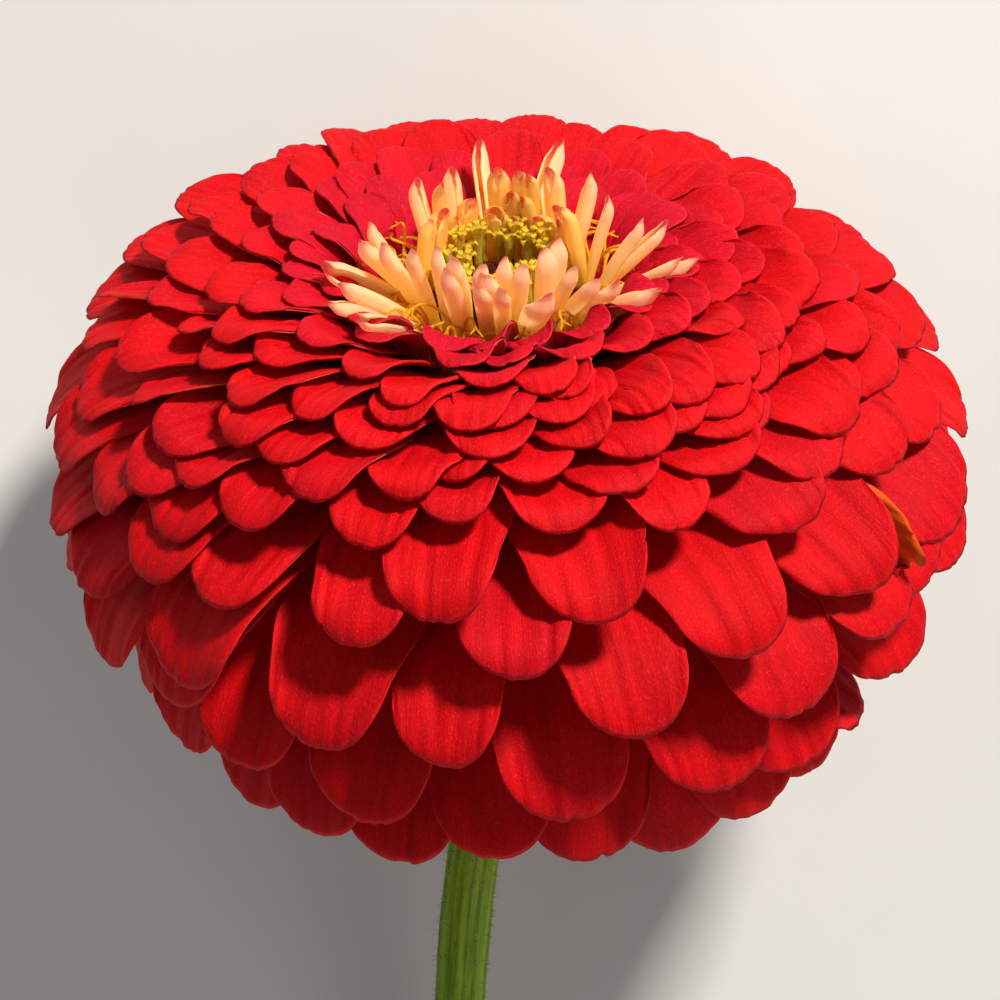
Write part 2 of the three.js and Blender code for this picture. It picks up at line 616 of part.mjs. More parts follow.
// ---------------------------------------------------------------- the part
function toMesh(name, made, color, roughness) {
  const { vertProperties, triVerts, numProp } = made.getMesh();
  const geometry = new THREE.BufferGeometry();
  const positions = new Float32Array(vertProperties.length / numProp * 3);
  for (let i = 0; i < positions.length / 3; i += 1) {
    for (let k = 0; k < 3; k += 1) positions[3 * i + k] = vertProperties[numProp * i + k];
  }
  geometry.setAttribute('position', new THREE.BufferAttribute(positions, 3));
  geometry.setIndex(new THREE.BufferAttribute(new Uint32Array(triVerts), 1));
  geometry.computeVertexNormals();
  const mesh = new THREE.Mesh(geometry, new THREE.MeshStandardMaterial({ color, roughness, metalness: 0 }));
  mesh.name = name;
  return mesh;
}

const gap = TOUCH_GAP + 0.04;
const young = youngPetals().subtract(discFlorets(gap));
const florets = discFlorets().subtract(discCentre(gap));
const centre = discCentre();
const discRoom = Manifold.union([youngPetals(gap), discFlorets(gap), discCentre(gap)]);

const zinnia = new THREE.Group();
zinnia.name = 'zinnia_flower';
zinnia.add(
  toMesh('ray_petals', rayPetals(discRoom), SCARLET, 0.6),
  toMesh('young_petals', largest(young), CREAM, 0.6),
  toMesh('disc_florets', largest(florets), YELLOW, 0.6),
  toMesh('disc_centre', largest(centre), MAROON, 0.7),
  toMesh('involucre', involucre(), GREEN, 0.7),
  toMesh('stem', stem(), STEM_GREEN, 0.7),
);
export default zinnia;
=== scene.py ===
import math

import bpy
import numpy as np
from mathutils import Matrix
from mathutils.kdtree import KDTree


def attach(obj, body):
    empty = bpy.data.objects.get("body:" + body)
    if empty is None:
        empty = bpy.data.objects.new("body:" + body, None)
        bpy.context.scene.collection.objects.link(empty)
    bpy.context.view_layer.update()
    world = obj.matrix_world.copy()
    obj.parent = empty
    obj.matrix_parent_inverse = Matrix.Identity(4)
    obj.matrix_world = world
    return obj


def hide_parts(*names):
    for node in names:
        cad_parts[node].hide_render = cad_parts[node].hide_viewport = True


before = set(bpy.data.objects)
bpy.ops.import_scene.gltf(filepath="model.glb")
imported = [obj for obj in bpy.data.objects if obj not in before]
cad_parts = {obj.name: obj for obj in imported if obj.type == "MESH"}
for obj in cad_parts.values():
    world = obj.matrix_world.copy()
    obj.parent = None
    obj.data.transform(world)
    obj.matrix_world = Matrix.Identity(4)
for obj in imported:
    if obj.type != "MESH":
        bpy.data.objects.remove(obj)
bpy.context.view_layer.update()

# ---- camera and placing
PIXELS_PER_MM = 8.35
CAMERA_DISTANCE = 560  # in millimetres
CAMERA_ELEVATION = 30
CAMERA_ROLL = -3.5
DISC_PIXEL = (503, 292)
IMAGE_SIDE = 1000
SENSOR_WIDTH = 36
LIGHT_TARGET = np.array([0.0, 0.045, 0.05])
FLOOR_HALF = 6.0
AXIS_TILT = 22.8
HEAD_HEIGHT = 60.8
CENTRE_X = -1.13
CENTRE_Y = -60.61
NEAR_PIXELS = 30  # within this of a pixel, how near the camera a tip is counts too
MM = 1000  # in a metre
UPWARD = np.array([0.0, 0.0, 1.0])

# ---- petals
THICKNESS = 0.3
REST_HEIGHT = 0.15
SOFT_HEIGHT = 6
SOFT_SINK = 1.0
TIP_PROFILE = [(18, 3.2), (24.5, 4.8), (31, 5.0), (38, 2.8), (44, -0.5), (49, -6.5), (53, -14),
               (55.5, -22), (55.5, -30), (53, -38), (49, -45), (45, -51), (41, -57)]
SWELL_AZIMUTH, SWELL_SPREAD, SWELL_RADIUS, SWELL_HEIGHT = -125, 42, 0.07, 2.2
ROOT_RADIUS = [13.5, 12.8, 12, 11, 10, 9, 8.2]
ROOT_HEIGHT = [-3, -5, -8, -12, -16, -19.5, -22.5]
ROOT_PITCH = [60, 50, 34, 14, -6, -22, -26]
SHOULDER_PITCH = [26, 20, 11, -28, -58, -70, -77]
LIP_PITCH = [-20, -46, -64, -78, -84, -86, -89]
LIP_LENGTH = [2.2, 3.0, 3.8, 4.4, 3.4, 2.8, 2.6]
LIP_STEPS, RIB_STEPS = 12, 40  # steps along a petal's lip and along its midrib up to the lip
BACK_FLATNESS = 0.65  # how much less the lips of the petals at the back turn down
TURNED_LIP = 0.3  # share of its lip's length that a turned petal keeps
TURNED_DROOP = 0.4  # share of its shoulder's pitch that a turned petal keeps
CUP_DEPTH = [0.50, 0.50, 0.36, 0.20, 0.12, 0.08, 0.08]
PETAL_WIDTH = [6.5, 9, 11.3, 14.5, 16, 16, 15.5]
TIP_SPACING = [6.0, 7.2, 8.8, 10.4, 11.6, 12, 12.5]
ROW_END = 12 / 11
PETAL_LEAN = 0.11
FACE_TURN = 0.23  # side petals turn their faces towards azimuth 0, in radians
WIDEN = 1.08  # the finer petals are this much wider than the solid ones
PHOTO_SHARE, FILL_SHARE = 0.9, 1.2
EXTRA_PHOTO_SHARE = 0.3
EXTRA_SHARE = [0.76, 0.76, 0.78, 0.98, 1.0, 0.92, 0.9]
SPIRAL_STEPS = 1400
GOLDEN_ANGLE = 137.50776

# Petal tips read off the photograph, in pixels, row by row from the skirt upwards.
PHOTO_TIPS = [
    (97, 655), (160, 702), (255, 775), (382, 828), (483, 861), (607, 861), (672, 866), (757, 813),
    (828, 778), (862, 740), (80, 590), (172, 683), (312, 750), (448, 770), (632, 742), (800, 772),
    (900, 685), (52, 525), (137, 576), (212, 608), (340, 647), (525, 681), (735, 663), (888, 638),
    (920, 600), (918, 562), (943, 543), (962, 508), (95, 510), (425, 623), (610, 623), (860, 600),
    (60, 470), (165, 543), (245, 533), (360, 550), (468, 525), (553, 537), (675, 534), (790, 538),
    (130, 487), (190, 490), (310, 503), (400, 500), (525, 485), (640, 492), (735, 475), (828, 476),
    (895, 470), (78, 420), (160, 452), (238, 450), (275, 465), (365, 451), (445, 483), (480, 460),
    (575, 451), (658, 456), (742, 440), (850, 425), (935, 440), (967, 425), (240, 410), (300, 420),
    (500, 429), (560, 425), (693, 430), (762, 430), (860, 400), (130, 400), (195, 362), (115, 362),
    (80, 345), (147, 300), (103, 293), (215, 340), (350, 378), (495, 389), (575, 398), (740, 385),
    (788, 375), (888, 385), (925, 335), (283, 300), (245, 312), (205, 290), (143, 235), (305, 345),
    (365, 342), (485, 352), (580, 362), (640, 350), (735, 335), (770, 350), (818, 358), (862, 352),
    (893, 277), (190, 205), (245, 170), (240, 240), (290, 250), (740, 290), (815, 295), (805, 255),
    (837, 225), (285, 145), (335, 128), (375, 125), (440, 123), (480, 113), (580, 122), (640, 145),
    (700, 145), (785, 190), (740, 200), (551, 397), (588, 411), (478, 434), (396, 409), (396, 429),
    (655, 415), (703, 400), (735, 417), (772, 386),
]
# Petals that have turned about their own length, by their tip's pixel, and how far in radians.
TURNED = {(918, 562): -1.75, (103, 293): 0.55, (147, 300): 0.4, (130, 400): 0.6, (862, 740): -0.5}
PETAL_ROWS, PETAL_COLUMNS = 30, 41
LIFT_S = np.linspace(0.25, 1, 12)  # where a petal's distance from its neighbours is settled
LIFT_T = np.linspace(-0.96, 0.96, 7)
LAYER_GAP, LAYER_LACK = 0.8, 2.0  # distance kept between two petals, and the most made up at once
LAYER_REACH, LAYER_SIDE = 4.6, 2.6
SAME_WAY = 0.3  # least cosine between the faces of petals that lie on each other
SETTLE_STEPS, SETTLE_RATE = 50, 0.6
PETAL_GROUPS = 8
CORE_PROFILE = [(0, -27), (9, -27), (12, -24), (12.8, -16), (13, -8), (12.8, -3.6), (0, -3.4)]

# ---- young petals, disc
YOUNG_PROFILE = [(8, 12.5), (12, 12), (16, 11), (20, 9.5), (25, 7)]
YOUNG_BACK_PROFILE = [(8, 6), (8.4, 9), (9, 12), (12, 12.5), (17, 11.5), (23, 9)]
YOUNG_FRONT = [
    (357, 208), (347, 230), (309, 260), (333, 283), (318, 310), (350, 322), (405, 240), (438, 240),
    (449, 264), (481, 282), (480, 258), (505, 250), (523, 258), (503, 285), (545, 240), (545, 295),
    (600, 280), (622, 285), (665, 290), (718, 268), (690, 255), (374, 236), (487, 268), (453, 249),
    (556, 230), (575, 262),
]
YOUNG_BACK = [
    (411, 180), (438, 180), (450, 170), (478, 160), (497, 165), (519, 167), (531, 170), (550, 168),
    (560, 163), (595, 175), (615, 197), (650, 218), (673, 222), (436, 208), (455, 213), (470, 195),
    (494, 205), (509, 187), (525, 193), (540, 213), (561, 204), (566, 218), (412, 220), (515, 214),
    (583, 206),
]
YOUNG_INNER, YOUNG_OUTER, YOUNG_BASE = 8.4, 11.2, -2.15
YOUNG_RADIUS, YOUNG_THICKNESS = 1.04, 0.2
YOUNG_ROWS, YOUNG_COLUMNS = 34, 29
FLORET_COUNT, LOBE_THICKNESS = 38, 0.2
FLORET_RADII = [0.56, 0.5, 0.46, 0.46, 0.5, 0.6, 0.7, 0.72]
FUZZ_COUNT, FUZZ_RADIUS, FUZZ_LENGTH = 9, 0.05, 0.5
STYLE_COUNT, STYLE_STEPS, BRANCH_STEPS = 70, 20, 9
MOUND_PROFILE = [(0, -2.1), (4.6, -2.1), (4.8, 0.2), (3.4, 1.5), (1.6, 2.3), (0, 2.5)]
CHAFF_COUNT, CHAFF_THICKNESS = 90, 0.14
CENTRE_HEIGHT, CENTRE_RADIUS = 3.2, 4.7

# ---- cup and stem
CUP_PROFILE = [(0, -27.3), (12.4, -27.3), (13.2, -31), (12.2, -36), (9, -40.5), (5.4, -43), (0, -43)]
BRACT_THICKNESS = 0.5
# Rows of bracts: radius and height of their tops, how they slope and how many there are.
BRACT_ROWS = [(13, -29.4, 0.06, 14), (11.2, -33, 0.36, 13), (8.9, -36.6, 0.66, 11),
              (6.4, -39.6, 0.95, 8)]
STEM_PATH = [(0, 0, -43.34), (0, 0, -46), (-1.2, 0, -52), (-3.7, 0, -62), (-6.6, 0, -75),
             (-9.3, 0, -90), (-11.7, 0, -110), (-13.6, 0, -130), (-15.2, 0, -150.4)]
STEM_RADII = [4.9, 4.4, 3.8, 3.5, 3.4, 3.3, 3.25, 3.2, 3.15]
STEM_RIBS = 7
STEM_ROWS, STEM_SIDES = 150, 72
STEM_RADIUS, STEM_LENGTH = 3.4, 110  # that the fibres are laid out on
# The cut face from its rim inwards: share of the rim's radius and height.
CUT_PROFILE = [(1.0, 0.042), (0.97, 0.05), (0.9, 0.052), (0.8, 0.046), (0.66, 0.03), (0.5, 0.018),
               (0.32, 0.01), (0.15, 0.008)]
HAIR_COUNT, HAIR_SEED, HAIR_CLEARANCE = 1800, 7, 0.1
HAIR_RADII = (0.055, 0.032)
HAIR_FACES = [[0, 1, 4, 3], [1, 2, 5, 4], [2, 0, 3, 5], [3, 4, 6], [4, 5, 6], [5, 3, 6], [2, 1, 0]]


# ---- small mathematics
def noise(i, k):
    """Repeatable value in 0..1 for piece i and property k."""
    x = math.sin(i * 12.9898 + k * 78.233) * 43758.5453
    return x - math.floor(x)


def around(i, k):
    """The same in -1..1."""
    return 2 * noise(i, k) - 1


def ease(x, start=0.0, end=1.0):
    """Smooth step from 0 at start to 1 at end."""
    x = np.clip((x - start) / (end - start), 0, 1)
    return x * x * (3 - 2 * x)


def at_row(values, v):
    """Value of an evenly spaced list at row v, eased between its entries."""
    t = min(max(v / ROW_END, 0), 1) * (len(values) - 1)
    i = min(int(t), len(values) - 2)
    f = float(ease(t - i))
    return values[i] * (1 - f) + values[i + 1] * f


def along(points, t):
    """Points of a smooth curve through a list, t in 0..1, as rows."""
    p = np.asarray(points, float)
    n = len(p) - 1
    x = np.clip(np.asarray(t, float), 0, 1) * n
    i = np.minimum(x.astype(int), n - 1)
    f = (x - i)[..., None]
    p0, p1, p2, p3 = p[np.maximum(i - 1, 0)], p[i], p[i + 1], p[np.minimum(i + 2, n)]
    return 0.5 * (2 * p1 + (p2 - p0) * f + (2 * p0 - 5 * p1 + 4 * p2 - p3) * f ** 2
                  + (3 * p1 - p0 - 3 * p2 + p3) * f ** 3)


def lay_direction(p):
    """Directions in the flower frame to directions in the row frame."""
    c, s = math.sin(math.radians(AXIS_TILT)), math.cos(math.radians(AXIS_TILT))
    x, y, z = np.moveaxis(np.asarray(p, float), -1, 0)
    return xyz(x, c * y + s * z, c * z - s * y)


def lay(p):
    """Points in the flower frame to the row frame, still in millimetres."""
    return lay_direction(p) + (-CENTRE_X, -CENTRE_Y, HEAD_HEIGHT)


def pressed(height):
    """Height of a petal's middle surface once the surface below has pressed it."""
    low, give = REST_HEIGHT - SOFT_SINK, SOFT_HEIGHT - REST_HEIGHT
    power = (SOFT_HEIGHT - low) / give
    q = np.clip((height - low) / (SOFT_HEIGHT - low), 0, 1)
    return np.where(height < SOFT_HEIGHT, REST_HEIGHT + give * q ** power, height)


def press(p, normals):
    """The same for laid points, with their normals turned to match."""
    x, y, z = np.moveaxis(p, -1, 0)
    steep = (pressed(z + 0.01) - pressed(z)) / 0.01
    normals = normals * xyz(steep, steep, 1)
    normals[..., 2] += np.where(normals[..., 2] < 0, -1e-3, 1e-3)
    return xyz(x, y, pressed(z)), unit(normals)


def unit(v):
    return v / np.maximum(np.linalg.norm(v, axis=-1, keepdims=True), 1e-9)


def xyz(x, y, z):
    """Vectors from their three parts, any of which may be one number for all of them."""
    return np.stack(np.broadcast_arrays(x, y, z), -1)


def shifted(start, *moves):
    """Points moved from start along directions, each by its own grid of amounts."""
    for direction, amount in moves:
        start = start + direction * amount[..., None]
    return start


def directions(points):
    """Unit directions along a line of points."""
    return unit(np.gradient(points, axis=0))


def spoke(angle):
    """Level directions outwards and across at an angle in radians."""
    out = np.array([math.cos(angle), math.sin(angle), 0])
    return out, np.array([-out[1], out[0], 0])


def normals_of(grid):
    """Unit normals of a grid of points, along its rows crossed with across its columns."""
    return unit(np.cross(np.gradient(grid, axis=0), np.gradient(grid, axis=1)))


# ---- the photograph's camera
def camera_axes():
    e, r = math.radians(CAMERA_ELEVATION), math.radians(CAMERA_ROLL)
    back = np.array([0, -math.cos(e), math.sin(e)])
    level = np.array([1.0, 0, 0])
    upright = np.cross(back, level)
    return (back, level * math.cos(r) + upright * math.sin(r),
            upright * math.cos(r) - level * math.sin(r))


BACK, RIGHT, UP = camera_axes()
FOCAL = PIXELS_PER_MM * CAMERA_DISTANCE


def to_pixel(p):
    """Where the camera sees points of the flower frame, and how far they are towards it."""
    depth = CAMERA_DISTANCE - p @ BACK
    return (DISC_PIXEL[0] + FOCAL * (p @ RIGHT) / depth,
            DISC_PIXEL[1] - FOCAL * (p @ UP) / depth, p @ BACK)


def turned(r, z, azimuth):
    """Point at a radius, height and azimuth (0 faces the camera)."""
    a = np.radians(azimuth)
    return xyz(r * np.sin(a), -r * np.cos(a), z)


def tip_point(azimuth, v):
    """Tip of a red petal: on the profile, which swells out at the back on the left."""
    profile = along(TIP_PROFILE, v / ROW_END)
    away = ((azimuth - SWELL_AZIMUTH + 540) % 360 - 180) / SWELL_SPREAD
    swell = np.exp(-away * away)
    return turned(profile[..., 0] * (1 + SWELL_RADIUS * swell),
                  profile[..., 1] + SWELL_HEIGHT * swell, azimuth)


def place_at(pixel, point_of, rows, near):
    """Azimuth and row whose tip the camera sees at a pixel, nearer to it for a higher near."""
    def miss_of(azimuths, v):
        x, y, toward = to_pixel(point_of(azimuths, v))
        return (x - pixel[0]) ** 2 + (y - pixel[1]) ** 2, toward
    azimuths, v = np.meshgrid(np.arange(-180, 180, 3.0), rows * np.arange(57) / 56, indexing="ij")
    miss, toward = miss_of(azimuths, v)
    best = np.argmin(miss - np.where(miss < NEAR_PIXELS ** 2, 6 * near * toward, 0))
    azimuth, row = azimuths.flat[best], v.flat[best]
    for step in (3, 1.5, 0.8, 0.4, 0.2, 0.1):
        a, b = np.meshgrid((-step, 0, step), (-step, 0, step), indexing="ij")
        a, b = azimuth + a, np.clip(row + b * 0.006, 0, rows)
        best = np.argmin(miss_of(a, b)[0])
        azimuth, row = a.flat[best], b.flat[best]
    return float(azimuth), float(row)


# ---- meshes
class Pile:
    """Gathers the points, faces and attributes of many small pieces into one mesh."""

    def __init__(self):
        self.points, self.faces, self.count = [], [], 0
        self.point_data, self.under = {}, []

    def add(self, points, faces, point_data=None, under=0.0):
        """under is 1 for the faces on a sheet's underside, or one value for all faces."""
        points = np.asarray(points, float).reshape(-1, 3)
        self.points.append(points)
        self.faces += [[i + self.count for i in face] for face in faces]
        self.count += len(points)
        for name, values in (point_data or {}).items():
            values = np.broadcast_to(np.asarray(values, float).reshape(-1, 3), points.shape)
            self.point_data.setdefault(name, []).append(values)
        self.under.append(np.broadcast_to(under, len(faces)))

    def make(self, name, material, slot, *nodes):
        """The piece in the row frame: points are laid millimetres."""
        mesh = bpy.data.meshes.new(name)
        mesh.from_pydata((np.concatenate(self.points) / MM).tolist(), [], self.faces)
        for key, values in self.point_data.items():
            layer = mesh.attributes.new(key, "FLOAT_VECTOR", "POINT")
            layer.data.foreach_set("vector", np.concatenate(values).ravel())
        layer = mesh.attributes.new("under", "FLOAT", "FACE")
        layer.data.foreach_set("value", np.concatenate(self.under))
        mesh.polygons.foreach_set("use_smooth", [True] * len(mesh.polygons))
        mesh.materials.append(material)
        piece = bpy.data.objects.new(name, mesh)
        bpy.context.scene.collection.objects.link(piece)
        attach(piece, "root")
        if nodes:
            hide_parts(*nodes)


def gathered(add, places):
    """A pile of the pieces that add() makes, one at each of the places."""
    pile = Pile()
    for i, place in enumerate(places):
        add(pile, i, *place)
    return pile


def sheet_faces(rows, columns):
    """Faces of a thin closed sheet: an upper grid and an under one that share their rim."""
    top = np.arange(rows * columns).reshape(rows, columns)
    under = top.copy()
    inner = under[1:-1, 1:-1]
    inner[:] = rows * columns + np.arange(inner.size).reshape(inner.shape)
    upper = np.stack([top[:-1, :-1], top[1:, :-1], top[1:, 1:], top[:-1, 1:]], -1)
    lower = np.stack([under[:-1, :-1], under[:-1, 1:], under[1:, 1:], under[1:, :-1]], -1)
    return np.concatenate([upper.reshape(-1, 4), lower.reshape(-1, 4)]).tolist()


def add_sheet(pile, middle, thickness, point_data=None, normals=None):
    """Adds a sheet of that thickness round a grid of middle points."""
    def both_sides(upper, lower):
        return np.concatenate([upper.reshape(-1, 3), lower[1:-1, 1:-1].reshape(-1, 3)])
    half = np.full((*middle.shape[:2], 1), thickness / 2)
    half[[0, -1], :] = 0
    half[:, [0, -1]] = 0
    half = half * (normals_of(middle) if normals is None else normals)
    data = {}
    for name, values in (point_data or {}).items():
        values = np.broadcast_to(values, middle.shape)
        data[name] = both_sides(values, values)
    faces = sheet_faces(*middle.shape[:2])
    under = np.repeat([0.0, 1.0], len(faces) // 2)
    pile.add(both_sides(middle + half, middle - half), faces, data, under)


def ring_faces(rings, sides, flipped=False, closed=True):
    """Faces between rings of points, and the two that close the ends."""
    here = np.arange(rings * sides).reshape(rings, sides)
    after = np.roll(here, -1, axis=1)
    corners = [here[:-1], after[:-1], after[1:], here[1:]]
    ends = [here[0, ::-1].tolist(), here[-1].tolist()]
    if flipped:
        corners = [corners[0], *corners[:0:-1]]
        ends = [end[::-1] for end in ends]
    return np.stack(corners, -1).reshape(-1, 4).tolist() + (ends if closed else [])


def add_tube(pile, centres, radii, sides, tag):
    """Adds a closed tube along laid centres."""
    forward = directions(centres)
    side = unit(np.cross(forward, (0.31, 0.2, 0.93)))
    up = np.cross(side, forward)
    w = np.linspace(0, 2 * math.pi, sides, endpoint=False)[:, None]
    ring = np.cos(w) * side[:, None] + np.sin(w) * up[:, None]
    points = centres[:, None] + ring * np.asarray(radii)[:, None, None]
    pile.add(points, ring_faces(len(centres), sides), {"tag": tag})


# ---- red petals
class Petal:
    """One petal: its midrib as [radius, height] and how it widens, cups, leans and wrinkles."""

    def __init__(self, index, azimuth, v, turned_over):
        tip = tip_point(azimuth, v)
        tip = np.array([math.hypot(tip[0], tip[1]), tip[2]])
        root = np.array([at_row(ROOT_RADIUS, v), at_row(ROOT_HEIGHT, v)])
        a0 = math.radians(at_row(ROOT_PITCH, v) + 5 * around(index, 1))
        a1 = math.radians(at_row(SHOULDER_PITCH, v) + 11 * around(index, 2))
        a1 *= TURNED_DROOP if turned_over else 1
        backness = float(ease(abs(azimuth), 50, 130))
        down = min(math.radians(at_row(LIP_PITCH, v) + 16 * around(index, 9)) - a1, -0.1)
        bend = a1 + down * (1 - BACK_FLATNESS * backness) * np.linspace(0, 1, LIP_STEPS + 1)
        lip = at_row(LIP_LENGTH, v) * (1 + 0.25 * around(index, 10)) / LIP_STEPS
        lip *= TURNED_LIP if turned_over else 1
        turn = 0.5 * (bend[1:] + bend[:-1])
        lip = np.cumsum(np.stack([np.cos(turn), np.sin(turn)], 1) * lip, axis=0)
        shoulder = tip - lip[-1]
        chord = np.linalg.norm(shoulder - root)
        leave = root + 0.4 * chord * np.array([math.cos(a0), math.sin(a0)])
        arrive = shoulder - 0.33 * chord * np.array([math.cos(a1), math.sin(a1)])
        t = np.linspace(0, 1, RIB_STEPS + 1)[:, None]
        path = ((1 - t) ** 3 * root + 3 * (1 - t) ** 2 * t * leave
                + 3 * (1 - t) * t * t * arrive + t ** 3 * shoulder)
        self.path = np.concatenate([path, shoulder + lip])
        self.tangent = directions(self.path)
        steps = np.linalg.norm(np.diff(self.path, axis=0), axis=1)
        self.lengths = np.concatenate([[0], np.cumsum(steps)])
        self.length, self.shoulder = self.lengths[-1], self.lengths[RIB_STEPS]
        self.index, self.azimuth, self.v = index, azimuth, v
        self.chance = noise(index, 81) + (1 if turned_over else 0)
        self.width = WIDEN * at_row(PETAL_WIDTH, v) * (1 + 0.10 * around(index, 3))
        self.cup = at_row(CUP_DEPTH, v) * (0.6 + 0.8 * noise(index, 4)) * (1 - 0.5 * backness)
        self.twist = (0.10 + 0.22 * float(ease(v, 0.7, 0.3))) * around(index, 5)
        self.twist += turned_over + FACE_TURN * math.sin(math.radians(azimuth))
        self.sideways = 0.04 * around(index, 6)
        self.lean = PETAL_LEAN + 0.04 * around(index, 7)

    def middle(self, s, t):
        """Smooth middle surface in the flower frame: s along it in rows, t across in columns."""
        s, t = s[:, None], t[None, :]
        round_end = 0.5 * self.width
        u = s * (self.length - round_end * (1 - np.sqrt(np.maximum(0, 1 - t * t))))
        u = u - self.notch(t) * ease(s, 0.8, 1.0)
        p, across = self.surface(u, s, t)
        normals = np.cross(self.surface(u + 0.3, s, t)[0] - p, self.surface(u, s, t + 0.02)[0] - p)
        return p, unit(normals), across, u

    def surface(self, u, s, t):
        """Points at a length u from the root, at t across, where the petal is as wide as at s."""
        lines = (*self.path.T, *self.tangent.T)
        r, z, dr, dz = (np.interp(u, self.lengths, line) for line in lines)
        half = 0.5 * self.width * (0.14 + 0.86 * ease(s, 0.06, 0.84)) * (1 - 0.16 * ease(s, 0.8, 1))
        turn = self.twist * s + self.lean
        across = t * half
        trough = ease(u, 0.35 * self.length, 0.7 * self.length)
        past = ease(u, self.shoulder - 1.5, self.length)
        rise = half * t * t * (1 - 0.4 * t ** 4) * (self.cup * trough * (1 - 1.15 * past)
                                                    - 0.06 * past)
        side = across * np.cos(turn) - rise * np.sin(turn) + self.sideways * self.length * s * s
        up = across * np.sin(turn) + rise * np.cos(turn)
        r, z = r - dz * up, z + dr * up
        c, d = math.cos(math.radians(self.azimuth)), math.sin(math.radians(self.azimuth))
        return xyz(r * d + side * c, -r * c + side * d, z), across

    def settled(self, s, t):
        """How far neighbours push the surface out along its normal."""
        weights = []
        for knots, x in ((LIFT_S, s), (LIFT_T, t)):
            w = np.exp(-((x[:, None] - knots) / (0.8 * (knots[1] - knots[0]))) ** 2) + 1e-12
            weights.append(w / w.sum(1, keepdims=True))
        return ease(s, 0.12, 0.3)[:, None] * (weights[0] @ self.lift @ weights[1].T)

    def notch(self, t):
        """How far the tip is set back, in millimetres, at its small notches."""
        i = self.index
        depth = 0.045 * self.width * noise(i, 40) ** 2
        centre = 0.16 * around(i, 41)
        second = centre + (0.45 if noise(i, 42) > 0.5 else -0.45)
        return (depth * np.exp(-np.abs(t - centre) / 0.07)
                + 0.45 * depth * noise(i, 43) * np.exp(-np.abs(t - second) / 0.08))

    def relief(self, s, t):
        """Height of pleats, grooves and ruffled margins above the smooth surface."""
        i = self.index
        s, t = s[:, None], t[None, :]
        folds = crinkle = 0
        for k, (count, high) in enumerate(((5.2, 0.045), (8.7, 0.03), (12.3, 0.02))):
            phase, drift = 6.3 * noise(i, 50 + k), 1.6 * around(i, 53 + k)
            along_t = math.pi * count * t * (1 + 0.06 * around(i, 56 + k))
            folds = folds + high * np.cos(along_t + phase + drift * s)
        for k, groove in enumerate((-0.58, -0.22, 0.2, 0.55)):
            centre = groove + 0.08 * around(i, 60 + k)
            depth = 0.34 * noise(i, 64 + k) ** 1.6 + 0.02
            folds = folds - depth * np.exp(-((t - centre) / 0.055) ** 2)
        fade = 1 - 0.4 * ease(s, 0.9, 1)
        ruffle = 0.32 * t ** 4 * np.sin(9 * s + 6.3 * noise(i, 70) + (1.5 + noise(i, 71)) * np.sign(t))
        for k, (count, high) in enumerate(((14, 0.07), (23, 0.055), (31, 0.04))):
            wave = count * t * (1 + 0.1 * around(i, 74 + k)) + 6.3 * noise(i, 72 + k) + 2 * s
            crinkle = crinkle + high * np.sin(wave)
        crinkle = crinkle * ease(s, 0.80, 1) * (1 - t ** 4)
        swell = 0.5 * around(i, 79) * np.sin(math.pi * s) * (1 - t * t)
        return self.width / 16 * (ease(s, 0.15, 0.6) * (folds * fade + ruffle) + crinkle + swell)


def petal_places():
    """Azimuth and row of every petal: those of the photograph and a spiral in their gaps."""
    seen = [(*place_at(pixel, tip_point, ROW_END, 1), TURNED.get(pixel, 0.0)) for pixel in PHOTO_TIPS]
    spiral = [((i * GOLDEN_ANGLE) % 360 - 180,
               0.05 + (ROW_END - 0.07) * (i + 0.5) / SPIRAL_STEPS, 0.0) for i in range(SPIRAL_STEPS)]
    places, tips = [], np.zeros((0, 3))
    for candidates, shares in ((seen, [PHOTO_SHARE] * 2), (spiral, [FILL_SHARE] * 2),
                               (seen, [EXTRA_PHOTO_SHARE] * 2), (spiral, EXTRA_SHARE)):
        for azimuth, v, turned_over in candidates:
            tip = tip_point(azimuth, v)
            room = np.linalg.norm(tips - tip, axis=1).min() if len(tips) else math.inf
            if room >= at_row(shares, v) * at_row(TIP_SPACING, v):
                places.append((azimuth, v, turned_over))
                tips = np.vstack([tips, tip])
    return places


def add_petal(pile, petal):
    s = 1 - (1 - np.linspace(0, 1, PETAL_ROWS)) ** 1.25
    q = np.linspace(-1, 1, PETAL_COLUMNS)
    t = 0.15 * q + 0.85 * np.sin(0.5 * math.pi * q)
    middle, normals, across, u = petal.middle(s, t)
    height = petal.settled(s, t) + petal.relief(s, t)
    laid, normals = press(lay(middle + normals * height[..., None]), lay_direction(normals))
    edge = np.maximum(np.abs(t)[None, :] ** 6, (s[:, None] - 0.9) * 10)
    data = {"place": xyz(across, u, 40 * noise(petal.index, 80)),
            "tone": xyz(edge, petal.v, petal.chance)}
    add_sheet(pile, laid, THICKNESS, data, normals)


